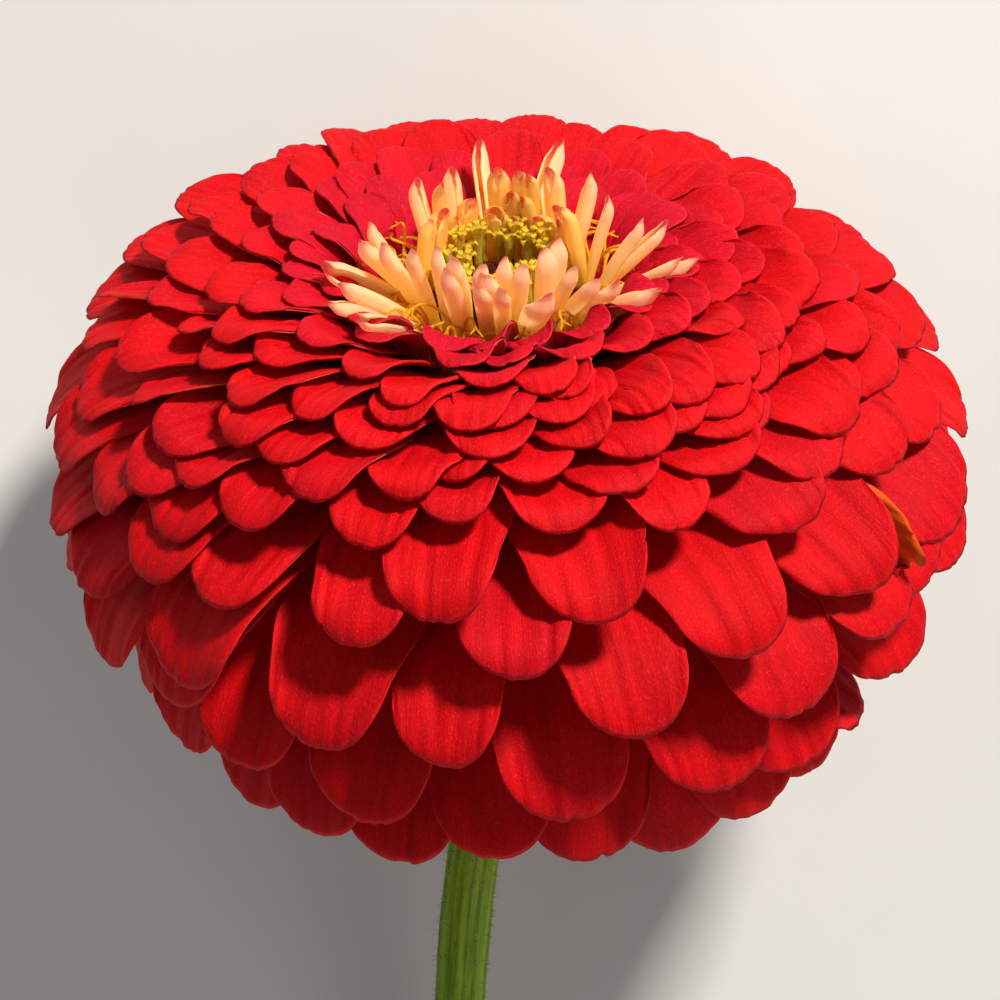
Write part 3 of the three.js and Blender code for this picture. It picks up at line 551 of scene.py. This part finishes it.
def settle(petals):
    """Pushes petals apart along their faces until each lies clear over the next one out."""
    surfaces = [petal.middle(LIFT_S, LIFT_T) for petal in petals]
    shape = (len(petals), len(LIFT_S), len(LIFT_T))
    points, normals = (np.stack([surface[k] for surface in surfaces]).reshape(-1, 3) for k in (0, 1))
    owner = np.repeat(np.arange(shape[0]), shape[1] * shape[2])
    tree = KDTree(len(points))
    for k, p in enumerate(points):
        tree.insert(p, k)
    tree.balance()
    pairs = np.array([(k, j) for k, p in enumerate(points)
                      for _, j, _ in tree.find_range(p, LAYER_REACH) if j > k and owner[j] != owner[k]])
    v, azimuth = np.array([(petal.v, petal.azimuth) for petal in petals])[owner].T
    a, b = pairs.T
    turn = (azimuth[b] - azimuth[a] + 540) % 360 - 180
    above = v[b] - v[a] + 0.03 * np.sign(turn) > 0
    over, below = np.where(above, a, b), np.where(above, b, a)
    same_way = (normals[over] * normals[below]).sum(1) > SAME_WAY
    over, below = over[same_way], below[same_way]
    lift = np.zeros(len(points))
    for _ in range(SETTLE_STEPS):
        moved = points + normals * lift[:, None]
        between = moved[over] - moved[below]
        height = (between * normals[below]).sum(1)
        sideways = np.linalg.norm(between - height[:, None] * normals[below], axis=1)
        weight = np.clip(1 - sideways / LAYER_SIDE, 0, 1)
        lack = np.clip(LAYER_GAP - height, 0, LAYER_LACK)
        weight = weight * (lack > 0)
        for which, way in ((over, 0.5), (below, -0.5)):
            total = np.bincount(which, lack * weight, len(points))
            share = np.bincount(which, weight, len(points))
            lift += way * SETTLE_RATE * total / np.maximum(share, 0.7)
        grid = lift.reshape(shape)
        for axis in (1, 2):
            wide = np.concatenate([grid.take([0], axis), grid, grid.take([-1], axis)], axis)
            n = grid.shape[axis]
            blurred = 0.25 * wide.take(range(n), axis) + 0.25 * wide.take(range(2, n + 2), axis)
            grid = 0.7 * grid + 0.3 * (blurred + 0.5 * grid)
        grid[:, 0] *= 0.3
        lift = 0.975 * grid.reshape(-1)
    for petal, grid in zip(petals, lift.reshape(shape)):
        most = 0.4 + 2.6 * float(ease(petal.v, 0.0, 0.35))
        petal.lift = most * np.tanh(grid / most)


def make_petals(material):
    petals = [Petal(i, *place) for i, place in enumerate(petal_places())]
    settle(petals)
    petals.sort(key=lambda petal: petal.v)
    size = math.ceil(len(petals) / PETAL_GROUPS)
    for k in range(PETAL_GROUPS):
        pile = Pile()
        for petal in petals[k * size:(k + 1) * size]:
            add_petal(pile, petal)
        pile.make(f"petal_rows_{k + 1}", material, "red_petal", "ray_petals")


def add_turned(pile, profile, sides, rings, wobble=0.0):
    """Adds a solid of revolution about the flower's axis, from [radius, height] pairs."""
    outline = along(profile, np.linspace(0, 1, rings))
    azimuth = np.linspace(0, 360, sides, endpoint=False)
    r = np.maximum(outline[:, :1], 0.02) * (1 + wobble * np.sin(np.radians(azimuth) * 9))
    pile.add(lay(turned(r, outline[:, 1:], azimuth)), ring_faces(rings, sides))


def make_core(material):
    pile = Pile()
    add_turned(pile, CORE_PROFILE, 48, 40, 0.02)
    pile.make("petal_core", material, "red_petal", "ray_petals")


# ---- young petals
def young_places():
    """Azimuth, tip and how far out the tip leans, of every young petal."""
    places = []
    kinds = (YOUNG_FRONT, YOUNG_PROFILE, 40), (YOUNG_BACK, YOUNG_BACK_PROFILE, -10)
    for pixels, profile, near in kinds:
        def tip_of(azimuth, v, outline=profile):
            point = along(outline, v)
            return turned(point[..., 0], point[..., 1], azimuth)
        for pixel in pixels:
            azimuth, v = place_at(pixel, tip_of, 1, near)
            tip = tip_of(azimuth, v)
            places.append((azimuth, tip, float(ease(math.hypot(tip[0], tip[1]), 8, 25))))
    return places


def young_curve(i, azimuth, tip, s):
    """Middle line of a young petal, in the flower frame: bowed, with a hooked tip."""
    r = YOUNG_INNER + 0.7 + (YOUNG_OUTER - YOUNG_INNER - 1.2) * noise(i, 11)
    root = turned(r, YOUNG_BASE + 0.5, azimuth + 4 * around(i, 12))
    out = unit(root * (1, 1, 0))
    side = np.cross(out, UPWARD)
    control = (root + tip) / 2 - 0.6 * out + 0.8 * UPWARD + 0.9 * around(i, 94) * side
    w = s[:, None]
    hook = ease(w, 0.72, 1.15) * (0.5 + 0.9 * noise(i, 95))
    return ((1 - w) ** 2 * root + 2 * w * (1 - w) * control + w * w * tip
            - hook * (0.8 * out - 0.5 * around(i, 96) * side))


def add_young(pile, i, azimuth, tip, leaning):
    """A petal still rolled lengthwise: cream outside, red within, hooded at its tip."""
    line, turn = np.linspace(0, 1, YOUNG_ROWS), np.linspace(-1, 1, YOUNG_COLUMNS)
    s = line[:, None]
    opening = float(ease(leaning, 0.1, 0.8)) * noise(i, 90) ** 1.2
    spread = 186 - 80 * opening
    half_angle = np.radians(spread - (22 + 10 * noise(i, 97)) * ease(s, 0.66, 1.0) * (1 - opening))
    radius = YOUNG_RADIUS * (1 + 0.26 * around(i, 13)) * (180 / spread) ** 0.6
    radius = radius * (0.62 + 0.38 * ease(s, 0, 0.6)) * (1 - 0.58 * ease(s, 0.76, 1.03) ** 1.4)
    centre = young_curve(i, azimuth, tip, line)
    forward = directions(centre)
    side = unit(np.cross(forward, turned(1, 0, azimuth)))
    back = np.cross(side, forward)
    a = half_angle * turn + 0.9 * around(i, 91)
    ribs = 1 + 0.03 * np.cos(7 * a) + 0.04 * np.cos(3 * a + 6 * noise(i, 92) + 2 * s)
    rho = radius * ribs * (1 - 0.14 * turn)
    shorter = 1.2 * turn ** 2 * ease(s, 0.75, 1.0)
    hood = 0.6 * ease(s, 0.84, 1.0) * (1 - turn ** 2)
    middle = shifted(centre[:, None], (back[:, None], 0.84 * rho * np.cos(a) - hood),
                     (side[:, None], 1.14 * rho * np.sin(a)), (forward[:, None], -shorter))
    data = {"place": xyz(rho * a, 15 * s, 40 * noise(i, 93)), "tone": xyz(np.abs(turn), s, leaning)}
    add_sheet(pile, lay(middle), YOUNG_THICKNESS, data)


def make_young(material):
    pile = gathered(add_young, young_places())
    pile.make("young_petals_rolled", material, "cream_petal", "young_petals")


# ---- disc
def add_floret(pile, i):
    """A yellow floret: a fuzzy tube with five spreading lobes."""
    out, _ = spoke(math.radians(GOLDEN_ANGLE * i))
    r = 4.7 + 3.2 * noise(i, 21)
    top = 3.6 + 2.4 * noise(i, 22)
    root, crown = out * r, out * r * (1 + 0.1 * around(i, 23)) + top * UPWARD
    w = np.linspace(0, 1, len(FLORET_RADII))[:, None]
    add_tube(pile, lay(root * (1 - w) + crown * w), FLORET_RADII, 10, (0, noise(i, 24), 0))
    s, t = np.linspace(0, 1, 7)[:, None], np.linspace(-1, 1, 5)
    wide = 0.42 * np.sqrt(np.maximum(0.03, 1 - s ** 2.4))
    for k in range(5):
        way, cross = spoke(2 * math.pi * (k + noise(i, 25)) / 5)
        bend = 1.2 + 0.7 * noise(i, 26 + k)
        reach = 0.52 + 1.15 * np.sin(bend * s) / bend
        lift = 0.9 * (1 - np.cos(bend * s)) * -0.6 + 0.55 * np.sin(2.2 * s) + 0.12 * t * t - 0.1
        lobe = shifted(crown, (way, reach), (cross, wide * t), (UPWARD, lift))
        add_sheet(pile, lay(lobe), LOBE_THICKNESS, {"tag": (1, noise(i, 24), 0)})
        add_fuzz(pile, lobe[1:].reshape(-1, 3), 31 * i + k)


def three_round(side, up):
    """Three directions evenly round a hair."""
    return [side * math.cos(q) + up * math.sin(q) for q in (0, 2.1, 4.2)]


def add_fuzz(pile, points, seed):
    """Short soft hairs that stand out of some points of a lobe."""
    rng = np.random.default_rng(seed)
    for p in points[rng.permutation(len(points))[:FUZZ_COUNT]]:
        way = unit(rng.normal(size=3) + 0.5 * UPWARD)
        across = unit(np.cross(way, (0.3, 0.5, 0.8)))
        ring = [p + FUZZ_RADIUS * d for d in three_round(across, np.cross(way, across))]
        hair = lay([*ring, p + FUZZ_LENGTH * way])
        pile.add(hair, [[0, 1, 3], [1, 2, 3], [2, 0, 3], [2, 1, 0]], {"tag": (1, 0.5, 0)})


def make_florets(material):
    pile = gathered(add_floret, [()] * FLORET_COUNT)
    pile.make("yellow_florets", material, "yellow_floret", "disc_florets")


def add_style(pile, i):
    """A curly thread-like style that ends in two branches."""
    r = 11.2 + 2.2 * noise(i, 111)
    start = turned(r, -1.2, 360 * i / STYLE_COUNT + 9 * around(i, 110))
    out = start * (1, 1, 0) / r
    side = np.cross(out, UPWARD)
    length = 4.0 + 2.6 * noise(i, 112)
    curl = 2.0 + 2.2 * noise(i, 113)
    way = 1 if noise(i, 114) > 0.5 else -1
    s = np.linspace(0, 1, STYLE_STEPS)[:, None]
    bow = (1 - np.cos(curl * s)) * 0.34 * length
    thread = (start + UPWARD * np.sin(1.9 * s) * length * 0.85 + side * way * bow
              + out * (s * s) * 0.45 * length * (0.4 + noise(i, 115)))
    add_tube(pile, lay(thread), np.linspace(0.2, 0.16, STYLE_STEPS), 8, (2, noise(i, 116), 0))
    end = thread[-1]
    towards = unit(end - thread[-2])
    w = np.linspace(0, 1, BRANCH_STEPS)[:, None]
    for sign in (-1, 1):
        branch = (end - 0.1 * towards + towards * w * 1.2
                  + (side * sign + out * 0.3) * (1 - np.cos(2.2 * w)) * 0.5)
        add_tube(pile, lay(branch), np.linspace(0.17, 0.09, BRANCH_STEPS), 6, (2, noise(i, 117), 0))


def make_styles(material):
    pile = gathered(add_style, [()] * STYLE_COUNT)
    pile.make("curly_styles", material, "yellow_floret")


def make_centre(material):
    """The maroon middle: a low mound of narrow pointed scales."""
    pile = Pile()
    add_turned(pile, MOUND_PROFILE, 32, 20)
    s, t = np.linspace(0, 1, 8)[:, None], np.linspace(-1, 1, 5)
    wide = 0.42 * np.sqrt(np.maximum(0.02, 1 - s ** 1.7))
    for i in range(CHAFF_COUNT):
        out, cross = spoke(math.radians(GOLDEN_ANGLE * i))
        r = CENTRE_RADIUS * math.sqrt((i + 0.6) / CHAFF_COUNT)
        top = CENTRE_HEIGHT - 0.1 * r * r + 0.9 * noise(i, 120)
        scale = shifted(0, (out, r + 0.25 * s * s * around(i, 121) - 0.12 * t * t),
                        (cross, wide * t + 0.3 * s * s * around(i, 122)),
                        (UPWARD, 0.4 + (top - 0.4) * s))
        add_sheet(pile, lay(scale), CHAFF_THICKNESS)
    pile.make("maroon_scales", material, "maroon_disc", "disc_centre")


# ---- cup and stem
def bract_middle(row, azimuth, s, t):
    """Middle surface of a bract, in the flower frame."""
    top_radius, top_height, slope, _ = BRACT_ROWS[row]
    length, width = 8.2 - 0.9 * row, 6.2 - 0.7 * row
    s = s[:, None]
    u = s * (length - 0.4 * width * (1 - np.sqrt(np.maximum(0, 1 - (0.99 * t) ** 2))))
    half = 0.5 * width * (0.75 + 0.25 * np.sin(math.pi * s))
    back = length - u
    r = (top_radius - back * slope * (0.6 + 0.4 * back / length) + 0.55 * s * s + 0.1
         + 0.12 * (1 - t * t))
    z = top_height + 1.2 - back * math.sqrt(1 - slope * slope * 0.8)
    return turned(r, z, azimuth + np.degrees(t * half / np.maximum(r, 4)))


def make_cup(cup_material, bract_material):
    pile = Pile()
    add_turned(pile, CUP_PROFILE, 60, 40)
    pile.make("cup_body", cup_material, "green_bract", "involucre")
    pile = Pile()
    s, t = np.linspace(0.05, 1, 18), np.linspace(-1, 1, 15)
    edge = np.maximum(np.abs(t) ** 3, ease(s, 0.72, 1.0)[:, None])
    ribs = 0.05 * np.cos(11 * t) * np.sin(math.pi * s)[:, None]
    for row, (_, _, _, count) in enumerate(BRACT_ROWS):
        for i in range(count):
            azimuth = 360 * (i + 0.5 * (row % 2)) / count + 3 * around(i, 31 + row)
            middle = lay(bract_middle(row, azimuth, s, t))
            middle = middle + normals_of(middle) * ribs[..., None]
            add_sheet(pile, middle, BRACT_THICKNESS, {"tag": xyz(edge, 0, 0)})
    pile.make("cup_bracts", bract_material, "green_bract", "involucre")


def stem_frame(s):
    """Laid centres, radii and two directions across the stem at s from cup to cut end."""
    centres = lay(along(STEM_PATH, s))
    radii = along([(r,) for r in STEM_RADII], s)[:, 0]
    forward = directions(centres)
    up = unit(np.cross(forward, (1.0, 0, 0)))
    return centres, radii, np.cross(up, forward), up


def stem_ribs(w, s):
    return (1 + 0.030 * np.cos(STEM_RIBS * w + 0.8 * np.sin(3 * s))
            + 0.014 * np.cos(17 * w + 2.0 * s) + 0.008 * np.cos(31 * w - 3 * s))


def make_stem(material, end_material):
    s, w = np.linspace(0, 1, STEM_ROWS), np.linspace(0, 2 * math.pi, STEM_SIDES, endpoint=False)
    centres, radii, level, up = stem_frame(s)
    s = s[:, None]
    ribs = stem_ribs(w, s)
    rho = radii[:, None] * ribs * (1 + 0.012 * np.sin(40 * s + 2 * np.sin(w)))
    points = shifted(centres[:, None], (level[:, None], rho * np.cos(w)), (up[:, None], rho * np.sin(w)))
    points[..., 2] = np.maximum(points[..., 2], 0.0)
    pile = Pile()
    place = xyz(w * STEM_RADIUS, s * STEM_LENGTH, ribs)
    pile.add(points, ring_faces(STEM_ROWS, STEM_SIDES, flipped=True), {"place": place})
    pile.make("stem_ribbed", material, "green_stem", "stem")
    make_cut_end(end_material, centres[-1], points[-1], directions(centres)[-1])


def make_cut_end(material, centre, rim, forward):
    """The stem's cut face: a shallow dished pith inside a thin wall."""
    n = len(rim)
    points = [centre + (rim - centre) * share + forward * height for share, height in CUT_PROFILE]
    points = np.concatenate(points + [[centre + forward * 0.01]])
    points[:, 2] = np.maximum(points[:, 2], 0)
    faces = ring_faces(len(CUT_PROFILE), n, flipped=True, closed=False)
    middle = len(points) - 1
    faces += [[middle - n + i, middle, middle - n + (i + 1) % n] for i in range(n)]
    share = np.append(np.repeat([share for share, _ in CUT_PROFILE], n), 0)
    pile = Pile()
    pile.add(points, faces, {"tag": xyz(share, 0, 0)})
    pile.make("stem_cut_end", material, "green_stem")


def make_hairs(material):
    """Short soft hairs all along the stem."""
    rng = np.random.default_rng(HAIR_SEED)
    s = np.sort(rng.uniform(0.03, 0.995, HAIR_COUNT))
    w = rng.uniform(0, 2 * math.pi, HAIR_COUNT)
    dense = np.linspace(0, 1, 400)
    frames = [np.interp(s, dense, column) for column in np.column_stack(stem_frame(dense)).T]
    centres, radii, level, up = np.split(np.stack(frames, -1), (3, 4, 7), axis=1)
    out = level * np.cos(w)[:, None] + up * np.sin(w)[:, None]
    base = centres + out * radii * stem_ribs(w, s)[:, None] * 0.985
    along_stem = np.cross(level, up)
    length = rng.uniform(0.45, 1.25, HAIR_COUNT)[:, None]
    bend = rng.uniform(-0.5, 0.5, (HAIR_COUNT, 3))
    middle = base + (out + 0.3 * bend) * length * 0.55
    tip = base + (out + 0.8 * bend + 0.25 * along_stem) * length
    keep = np.min([base, middle, tip], axis=0)[:, 2] > HAIR_CLEARANCE
    side = np.cross(out, along_stem)
    pile = Pile()
    for i in np.nonzero(keep)[0]:
        ring = three_round(side[i], along_stem[i])
        low, high = ([p[i] + r * d for d in ring] for p, r in zip((base, middle), HAIR_RADII))
        pile.add([*low, *high, tip[i]], HAIR_FACES)
    pile.make("stem_hairs", material, "green_stem")


# ---- materials
class Shade:
    """A material and short ways to add its nodes."""

    def __init__(self, name):
        self.material = bpy.data.materials.new(name)
        self.material.use_nodes = True
        self.tree = self.material.node_tree
        self.tree.nodes.clear()
        self.output = self.tree.nodes.new("ShaderNodeOutputMaterial")

    def node(self, kind, inputs=None, **settings):
        node = self.tree.nodes.new("ShaderNode" + kind)
        for key, value in settings.items():
            setattr(node, key, value)
        for key, value in (inputs or {}).items():
            self.feed(node.inputs[key], value)
        return node

    def feed(self, socket, value):
        if isinstance(value, bpy.types.NodeSocket):
            self.tree.links.new(value, socket)
        elif socket.type == "RGBA":
            socket.default_value = (*value, 1)
        else:
            socket.default_value = value

    def vector(self, name):
        """A vector attribute of the mesh."""
        return self.node("Attribute", attribute_name=name).outputs["Vector"]

    def under(self):
        """1 on the underside of a sheet and 0 on its upper side."""
        return self.node("Attribute", attribute_name="under").outputs["Fac"]

    def position(self):
        return self.node("NewGeometry").outputs["Position"]

    def parts(self, name):
        """The three numbers of a vector attribute."""
        return list(self.node("SeparateXYZ", {"Vector": self.vector(name)}).outputs)

    def sums(self, operation, a, b):
        return self.node("Math", {0: a, 1: b}, operation=operation).outputs[0]

    def spread(self, value, low, high, start=0.0, end=1.0):
        """value from low..high to start..end, clamped and smooth."""
        inputs = {"Value": value, "From Min": low, "From Max": high, "To Min": start, "To Max": end}
        return self.node("MapRange", inputs, interpolation_type="SMOOTHSTEP").outputs["Result"]

    def blend(self, factor, a, b):
        return self.node("Mix", {0: factor, 6: a, 7: b}, data_type="RGBA").outputs[2]

    def fade(self, value, low, high, a, b, most=1.0):
        """From a towards b as value goes from low to high."""
        return self.blend(self.spread(value, low, high, 0.0, most), a, b)

    def shine(self, factor, colour):
        """colour times a factor that varies over the surface."""
        return self.node("VectorMath", {0: colour, "Scale": factor}, operation="SCALE").outputs[0]

    def root(self, colour):
        """What one face lets through, where the two faces of a sheet let colour through."""
        return self.node("Gamma", {"Color": colour, "Gamma": 0.5}).outputs[0]

    def grain(self, vector, scale, stretch=(1, 1, 1), detail=3.0, rough=0.55):
        """Noise over a vector, with its own stretch in each direction."""
        mapped = self.node("Mapping", {"Vector": vector, "Scale": stretch}).outputs[0]
        return self.node("TexNoise", {"Vector": mapped, "Scale": scale, "Detail": detail,
                                      "Roughness": rough}).outputs[0]

    def bump(self, height, distance, strength):
        return self.node("Bump", {"Height": height, "Distance": distance,
                                  "Strength": strength}).outputs[0]

    def finish(self, colour, normal, roughness, sheen, specular, translucent=0.0, glow=None):
        """Principled surface, with light that comes through a thin petal mixed in."""
        made = self.node("BsdfPrincipled", {
            "Base Color": colour, "Normal": normal, "Roughness": roughness, "Sheen Weight": sheen,
            "Specular IOR Level": specular}).outputs[0]
        if translucent:
            glow = colour if glow is None else glow
            through = self.node("BsdfTranslucent", {"Color": glow, "Normal": normal}).outputs[0]
            made = self.node("MixShader", {0: translucent, 1: made, 2: through}).outputs[0]
        self.feed(self.output.inputs[0], made)
        return self.material


def petal_material():
    shade = Shade("scarlet petal")
    place = shade.vector("place")
    edge, row, chance = shade.parts("tone")
    veins = shade.grain(place, 1.0, (2.6, 0.16, 1.0), 4.0, 0.6)
    broad = shade.grain(place, 1.0, (0.35, 0.12, 1.0), 2.0)
    cells_and_sheen = shade.grain(place, 1.0, (5.5, 2.8, 1.0), 3.0, 0.6)
    inner = shade.spread(row, 0.24, 0.02)
    red = shade.blend(inner, (0.72, 0.0018, 0.0055), (0.60, 0.002, 0.024))
    red = shade.fade(chance, 0.55, 1.0, red, (0.60, 0.0016, 0.014), 0.45)
    level = shade.sums("ADD", shade.spread(veins, 0.25, 0.75, 0.91, 1.05),
                       shade.spread(broad, 0.3, 0.7, -0.10, 0.08))
    red = shade.shine(shade.sums("MULTIPLY", level, shade.spread(cells_and_sheen, 0.3, 0.7, 0.88, 1.1)), red)
    # The pink towards the peaks of this noise is a painted highlight, the velvet's sheen. The mottling
    # and bump from the same noise are the petal's own grain.
    red = shade.fade(cells_and_sheen, 0.56, 0.74, red, (0.92, 0.075, 0.085), 0.35)
    rim = shade.sums("MULTIPLY", shade.spread(edge, 0.72, 1.0), shade.spread(inner, 0, 1, 0.12, 0.4))
    red = shade.blend(rim, red, (0.88, 0.07, 0.09))
    back = shade.fade(row, 0.1, 0.7, (0.62, 0.09, 0.09), (0.62, 0.045, 0.02))
    back = shade.fade(chance, 0.99, 1.01, back, (0.82, 0.105, 0.008))
    colour = shade.blend(shade.under(), red, shade.shine(level, back))
    height = shade.sums("ADD", shade.sums("MULTIPLY", veins, 0.5), shade.sums("MULTIPLY", cells_and_sheen, 0.5))
    normal = shade.bump(height, 0.00028, 0.7)
    return shade.finish(colour, normal, 0.62, 0.0, 0.12, 0.2, shade.shine(1.15, colour))


def young_material():
    shade = Shade("cream young petal")
    side, height, row = shade.parts("tone")
    under = shade.under()
    streaks = shade.grain(shade.vector("place"), 1.0, (3.2, 0.25, 1.0))
    cream = shade.fade(height, 0.05, 0.62, (0.97, 0.84, 0.09), (1.0, 0.92, 0.50))
    cream = shade.blend(shade.spread(row, 0.0, 0.12, 0.75, 0.0), cream, (0.94, 0.76, 0.10))
    flush = shade.sums("MULTIPLY", shade.spread(streaks, 0.45, 0.75),
                       shade.spread(height, 0.2, 0.7, 0.0, 0.16))
    cream = shade.blend(flush, cream, (0.80, 0.34, 0.16))
    cream = shade.fade(height, 0.93, 1.0, cream, (0.50, 0.05, 0.03), 0.85)
    rim = shade.fade(side, 0.86, 0.97, (0.55, 0.008, 0.02), (0.90, 0.60, 0.34))
    colour = shade.blend(under, rim, cream)
    inside = shade.fade(height, 0.66, 0.92, (0.98, 0.80, 0.22), (0.55, 0.02, 0.03))
    through = shade.root(shade.blend(under, inside, cream))
    normal = shade.bump(streaks, 0.0002, 0.5)
    return shade.finish(colour, normal, 0.5, 0.0, 0.3, 0.6, shade.shine(1.3, through))


def speckled(name, dark, light, scale, roughness, translucent=0.0):
    """A plant tissue of two tones, by position."""
    shade = Shade(name)
    patches = shade.grain(shade.position(), scale, detail=4.0)
    colour = shade.fade(patches, 0.3, 0.7, dark, light)
    return shade.finish(colour, shade.bump(patches, 0.0002, 0.6), roughness, 0.0, 0.3, translucent)


def floret_material():
    shade = Shade("yellow floret")
    kind, chance, _ = shade.parts("tag")
    fuzz = shade.grain(shade.position(), 4200, rough=0.7)
    tube = shade.blend(chance, (0.74, 0.60, 0.05), (0.86, 0.56, 0.03))
    colour = shade.blend(kind, tube, (1.0, 0.74, 0.03))
    colour = shade.fade(kind, 1.2, 1.8, colour, (0.95, 0.52, 0.015))
    colour = shade.shine(shade.spread(fuzz, 0.3, 0.7, 0.75, 1.15), colour)
    normal = shade.bump(fuzz, 0.00025, 0.9)
    return shade.finish(colour, normal, 0.6, 0.1, 0.25, 0.45, shade.shine(1.3, shade.root(colour)))


def bract_material():
    shade = Shade("green bract")
    patches = shade.grain(shade.position(), 900, detail=4.0)
    green = shade.fade(patches, 0.3, 0.7, (0.10, 0.17, 0.028), (0.22, 0.32, 0.06))
    green = shade.fade(shade.parts("tag")[0], 0.62, 0.86, green, (0.045, 0.030, 0.012))
    return shade.finish(green, shade.bump(patches, 0.0003, 0.6), 0.6, 0.05, 0.3)


def stem_material():
    shade = Shade("hairy green stem")
    place, rib = shade.vector("place"), shade.parts("place")[2]
    fibres = shade.grain(place, 1.0, (1.6, 0.10, 0.0), 4.0)
    spots = shade.grain(place, 1.0, (1.3, 0.9, 0.0))
    green = shade.fade(fibres, 0.3, 0.7, (0.105, 0.18, 0.002), (0.23, 0.36, 0.008))
    green = shade.fade(rib, 0.99, 1.04, green, (0.36, 0.48, 0.04), 0.45)
    green = shade.fade(spots, 0.55, 0.8, green, (0.10, 0.08, 0.02), 0.25)
    return shade.finish(green, shade.bump(fibres, 0.0004, 0.7), 0.55, 0.02, 0.12)


def cut_material():
    shade = Shade("cut stem end")
    fibres = shade.grain(shade.position(), 3000)
    pith = shade.fade(fibres, 0.3, 0.7, (0.50, 0.56, 0.30), (0.68, 0.72, 0.46))
    colour = shade.fade(shade.parts("tag")[0], 0.72, 0.9, pith, (0.20, 0.30, 0.07))
    return shade.finish(colour, shade.bump(fibres, 0.0002, 0.8), 0.5, 0.0, 0.4)


# ---- floor, lights, camera
def make_floor():
    mesh = bpy.data.meshes.new("floor")
    corners = [(x * FLOOR_HALF, y * FLOOR_HALF, 0) for x, y in ((-1, -1), (1, -1), (1, 1), (-1, 1))]
    mesh.from_pydata(corners, [], [(0, 1, 2, 3)])
    floor = bpy.data.objects.new("floor", mesh)
    bpy.context.scene.collection.objects.link(floor)
    shade = Shade("pale floor")
    mottle = shade.grain(shade.position(), 40, detail=2.0)
    colour = shade.fade(mottle, 0.3, 0.7, (0.735, 0.725, 0.695), (0.745, 0.735, 0.705))
    mesh.materials.append(shade.finish(colour, shade.bump(mottle, 0.0001, 0.05), 0.9, 0.0, 0.1))


def aim(name, data, place, back, upright):
    """Puts a light or camera at a place in the row frame, facing away from back."""
    right = unit(np.cross(upright, back))
    turn = Matrix(np.stack([right, np.cross(back, right), back], 1).tolist()).to_4x4()
    made = bpy.data.objects.new(name, data)
    made.matrix_world = Matrix.Translation(place.tolist()) @ turn
    bpy.context.scene.collection.objects.link(made)
    return made


def make_light(name, direction, distance, side, power, colour):
    """A square soft light that faces the flower from a direction in the row frame."""
    data = bpy.data.lights.new(name, "AREA")
    data.shape, data.size, data.energy, data.color = "SQUARE", side, power, colour
    back = unit(np.array(direction))
    aim(name, data, LIGHT_TARGET + distance * back, back, (0.02, 0.1, 1.0))


def make_lights():
    world = bpy.data.worlds.new("studio")
    bpy.context.scene.world = world
    world.use_nodes = True
    background = world.node_tree.nodes["Background"]
    background.inputs["Color"].default_value = (0.90, 0.95, 1.0, 1)
    background.inputs["Strength"].default_value = 0.19
    make_light("key", (0.40, 0.69, 0.60), 1.6, 0.22, 37, (1.0, 0.96, 0.90))
    make_light("fill", (-0.55, 0.45, 0.7), 1.8, 1.4, 2.8, (0.98, 0.98, 1.0))
    make_light("front", (0.50, -0.95, 0.40), 1.8, 1.0, 8, (1.0, 0.98, 0.95))


def make_camera():
    data = bpy.data.cameras.new("camera")
    data.sensor_width = SENSOR_WIDTH
    data.lens = SENSOR_WIDTH * FOCAL / IMAGE_SIDE
    data.clip_start, data.clip_end = 0.01, 20
    middle = IMAGE_SIDE / 2
    back = unit(BACK * FOCAL - RIGHT * (middle - DISC_PIXEL[0]) + UP * (middle - DISC_PIXEL[1]))
    place = (lay(np.zeros(3)) + CAMERA_DISTANCE * lay_direction(BACK)) / MM
    bpy.context.scene.camera = aim("camera", data, place, lay_direction(back), lay_direction(UP))


# ---- the scene
make_camera()
make_lights()
make_floor()
bpy.context.scene.view_settings.view_transform = "Standard"
make_petals(petal_material())
# The core under the petals is painted a very dark red. This is painted shade where it shows in the gaps
# between the petals.
make_core(speckled("petal root painted shade", (0.10, 0.004, 0.003), (0.22, 0.02, 0.008), 700, 0.7))
make_young(young_material())
FLORET = floret_material()
make_florets(FLORET)
make_styles(FLORET)
make_centre(speckled("maroon chaff", (0.035, 0.002, 0.002), (0.16, 0.012, 0.008), 2600, 0.6))
make_cup(speckled("green cup", (0.10, 0.16, 0.03), (0.20, 0.30, 0.06), 700, 0.6), bract_material())
make_stem(stem_material(), cut_material())
make_hairs(speckled("pale hair", (0.40, 0.48, 0.20), (0.58, 0.64, 0.34), 500, 0.5, 0.2))
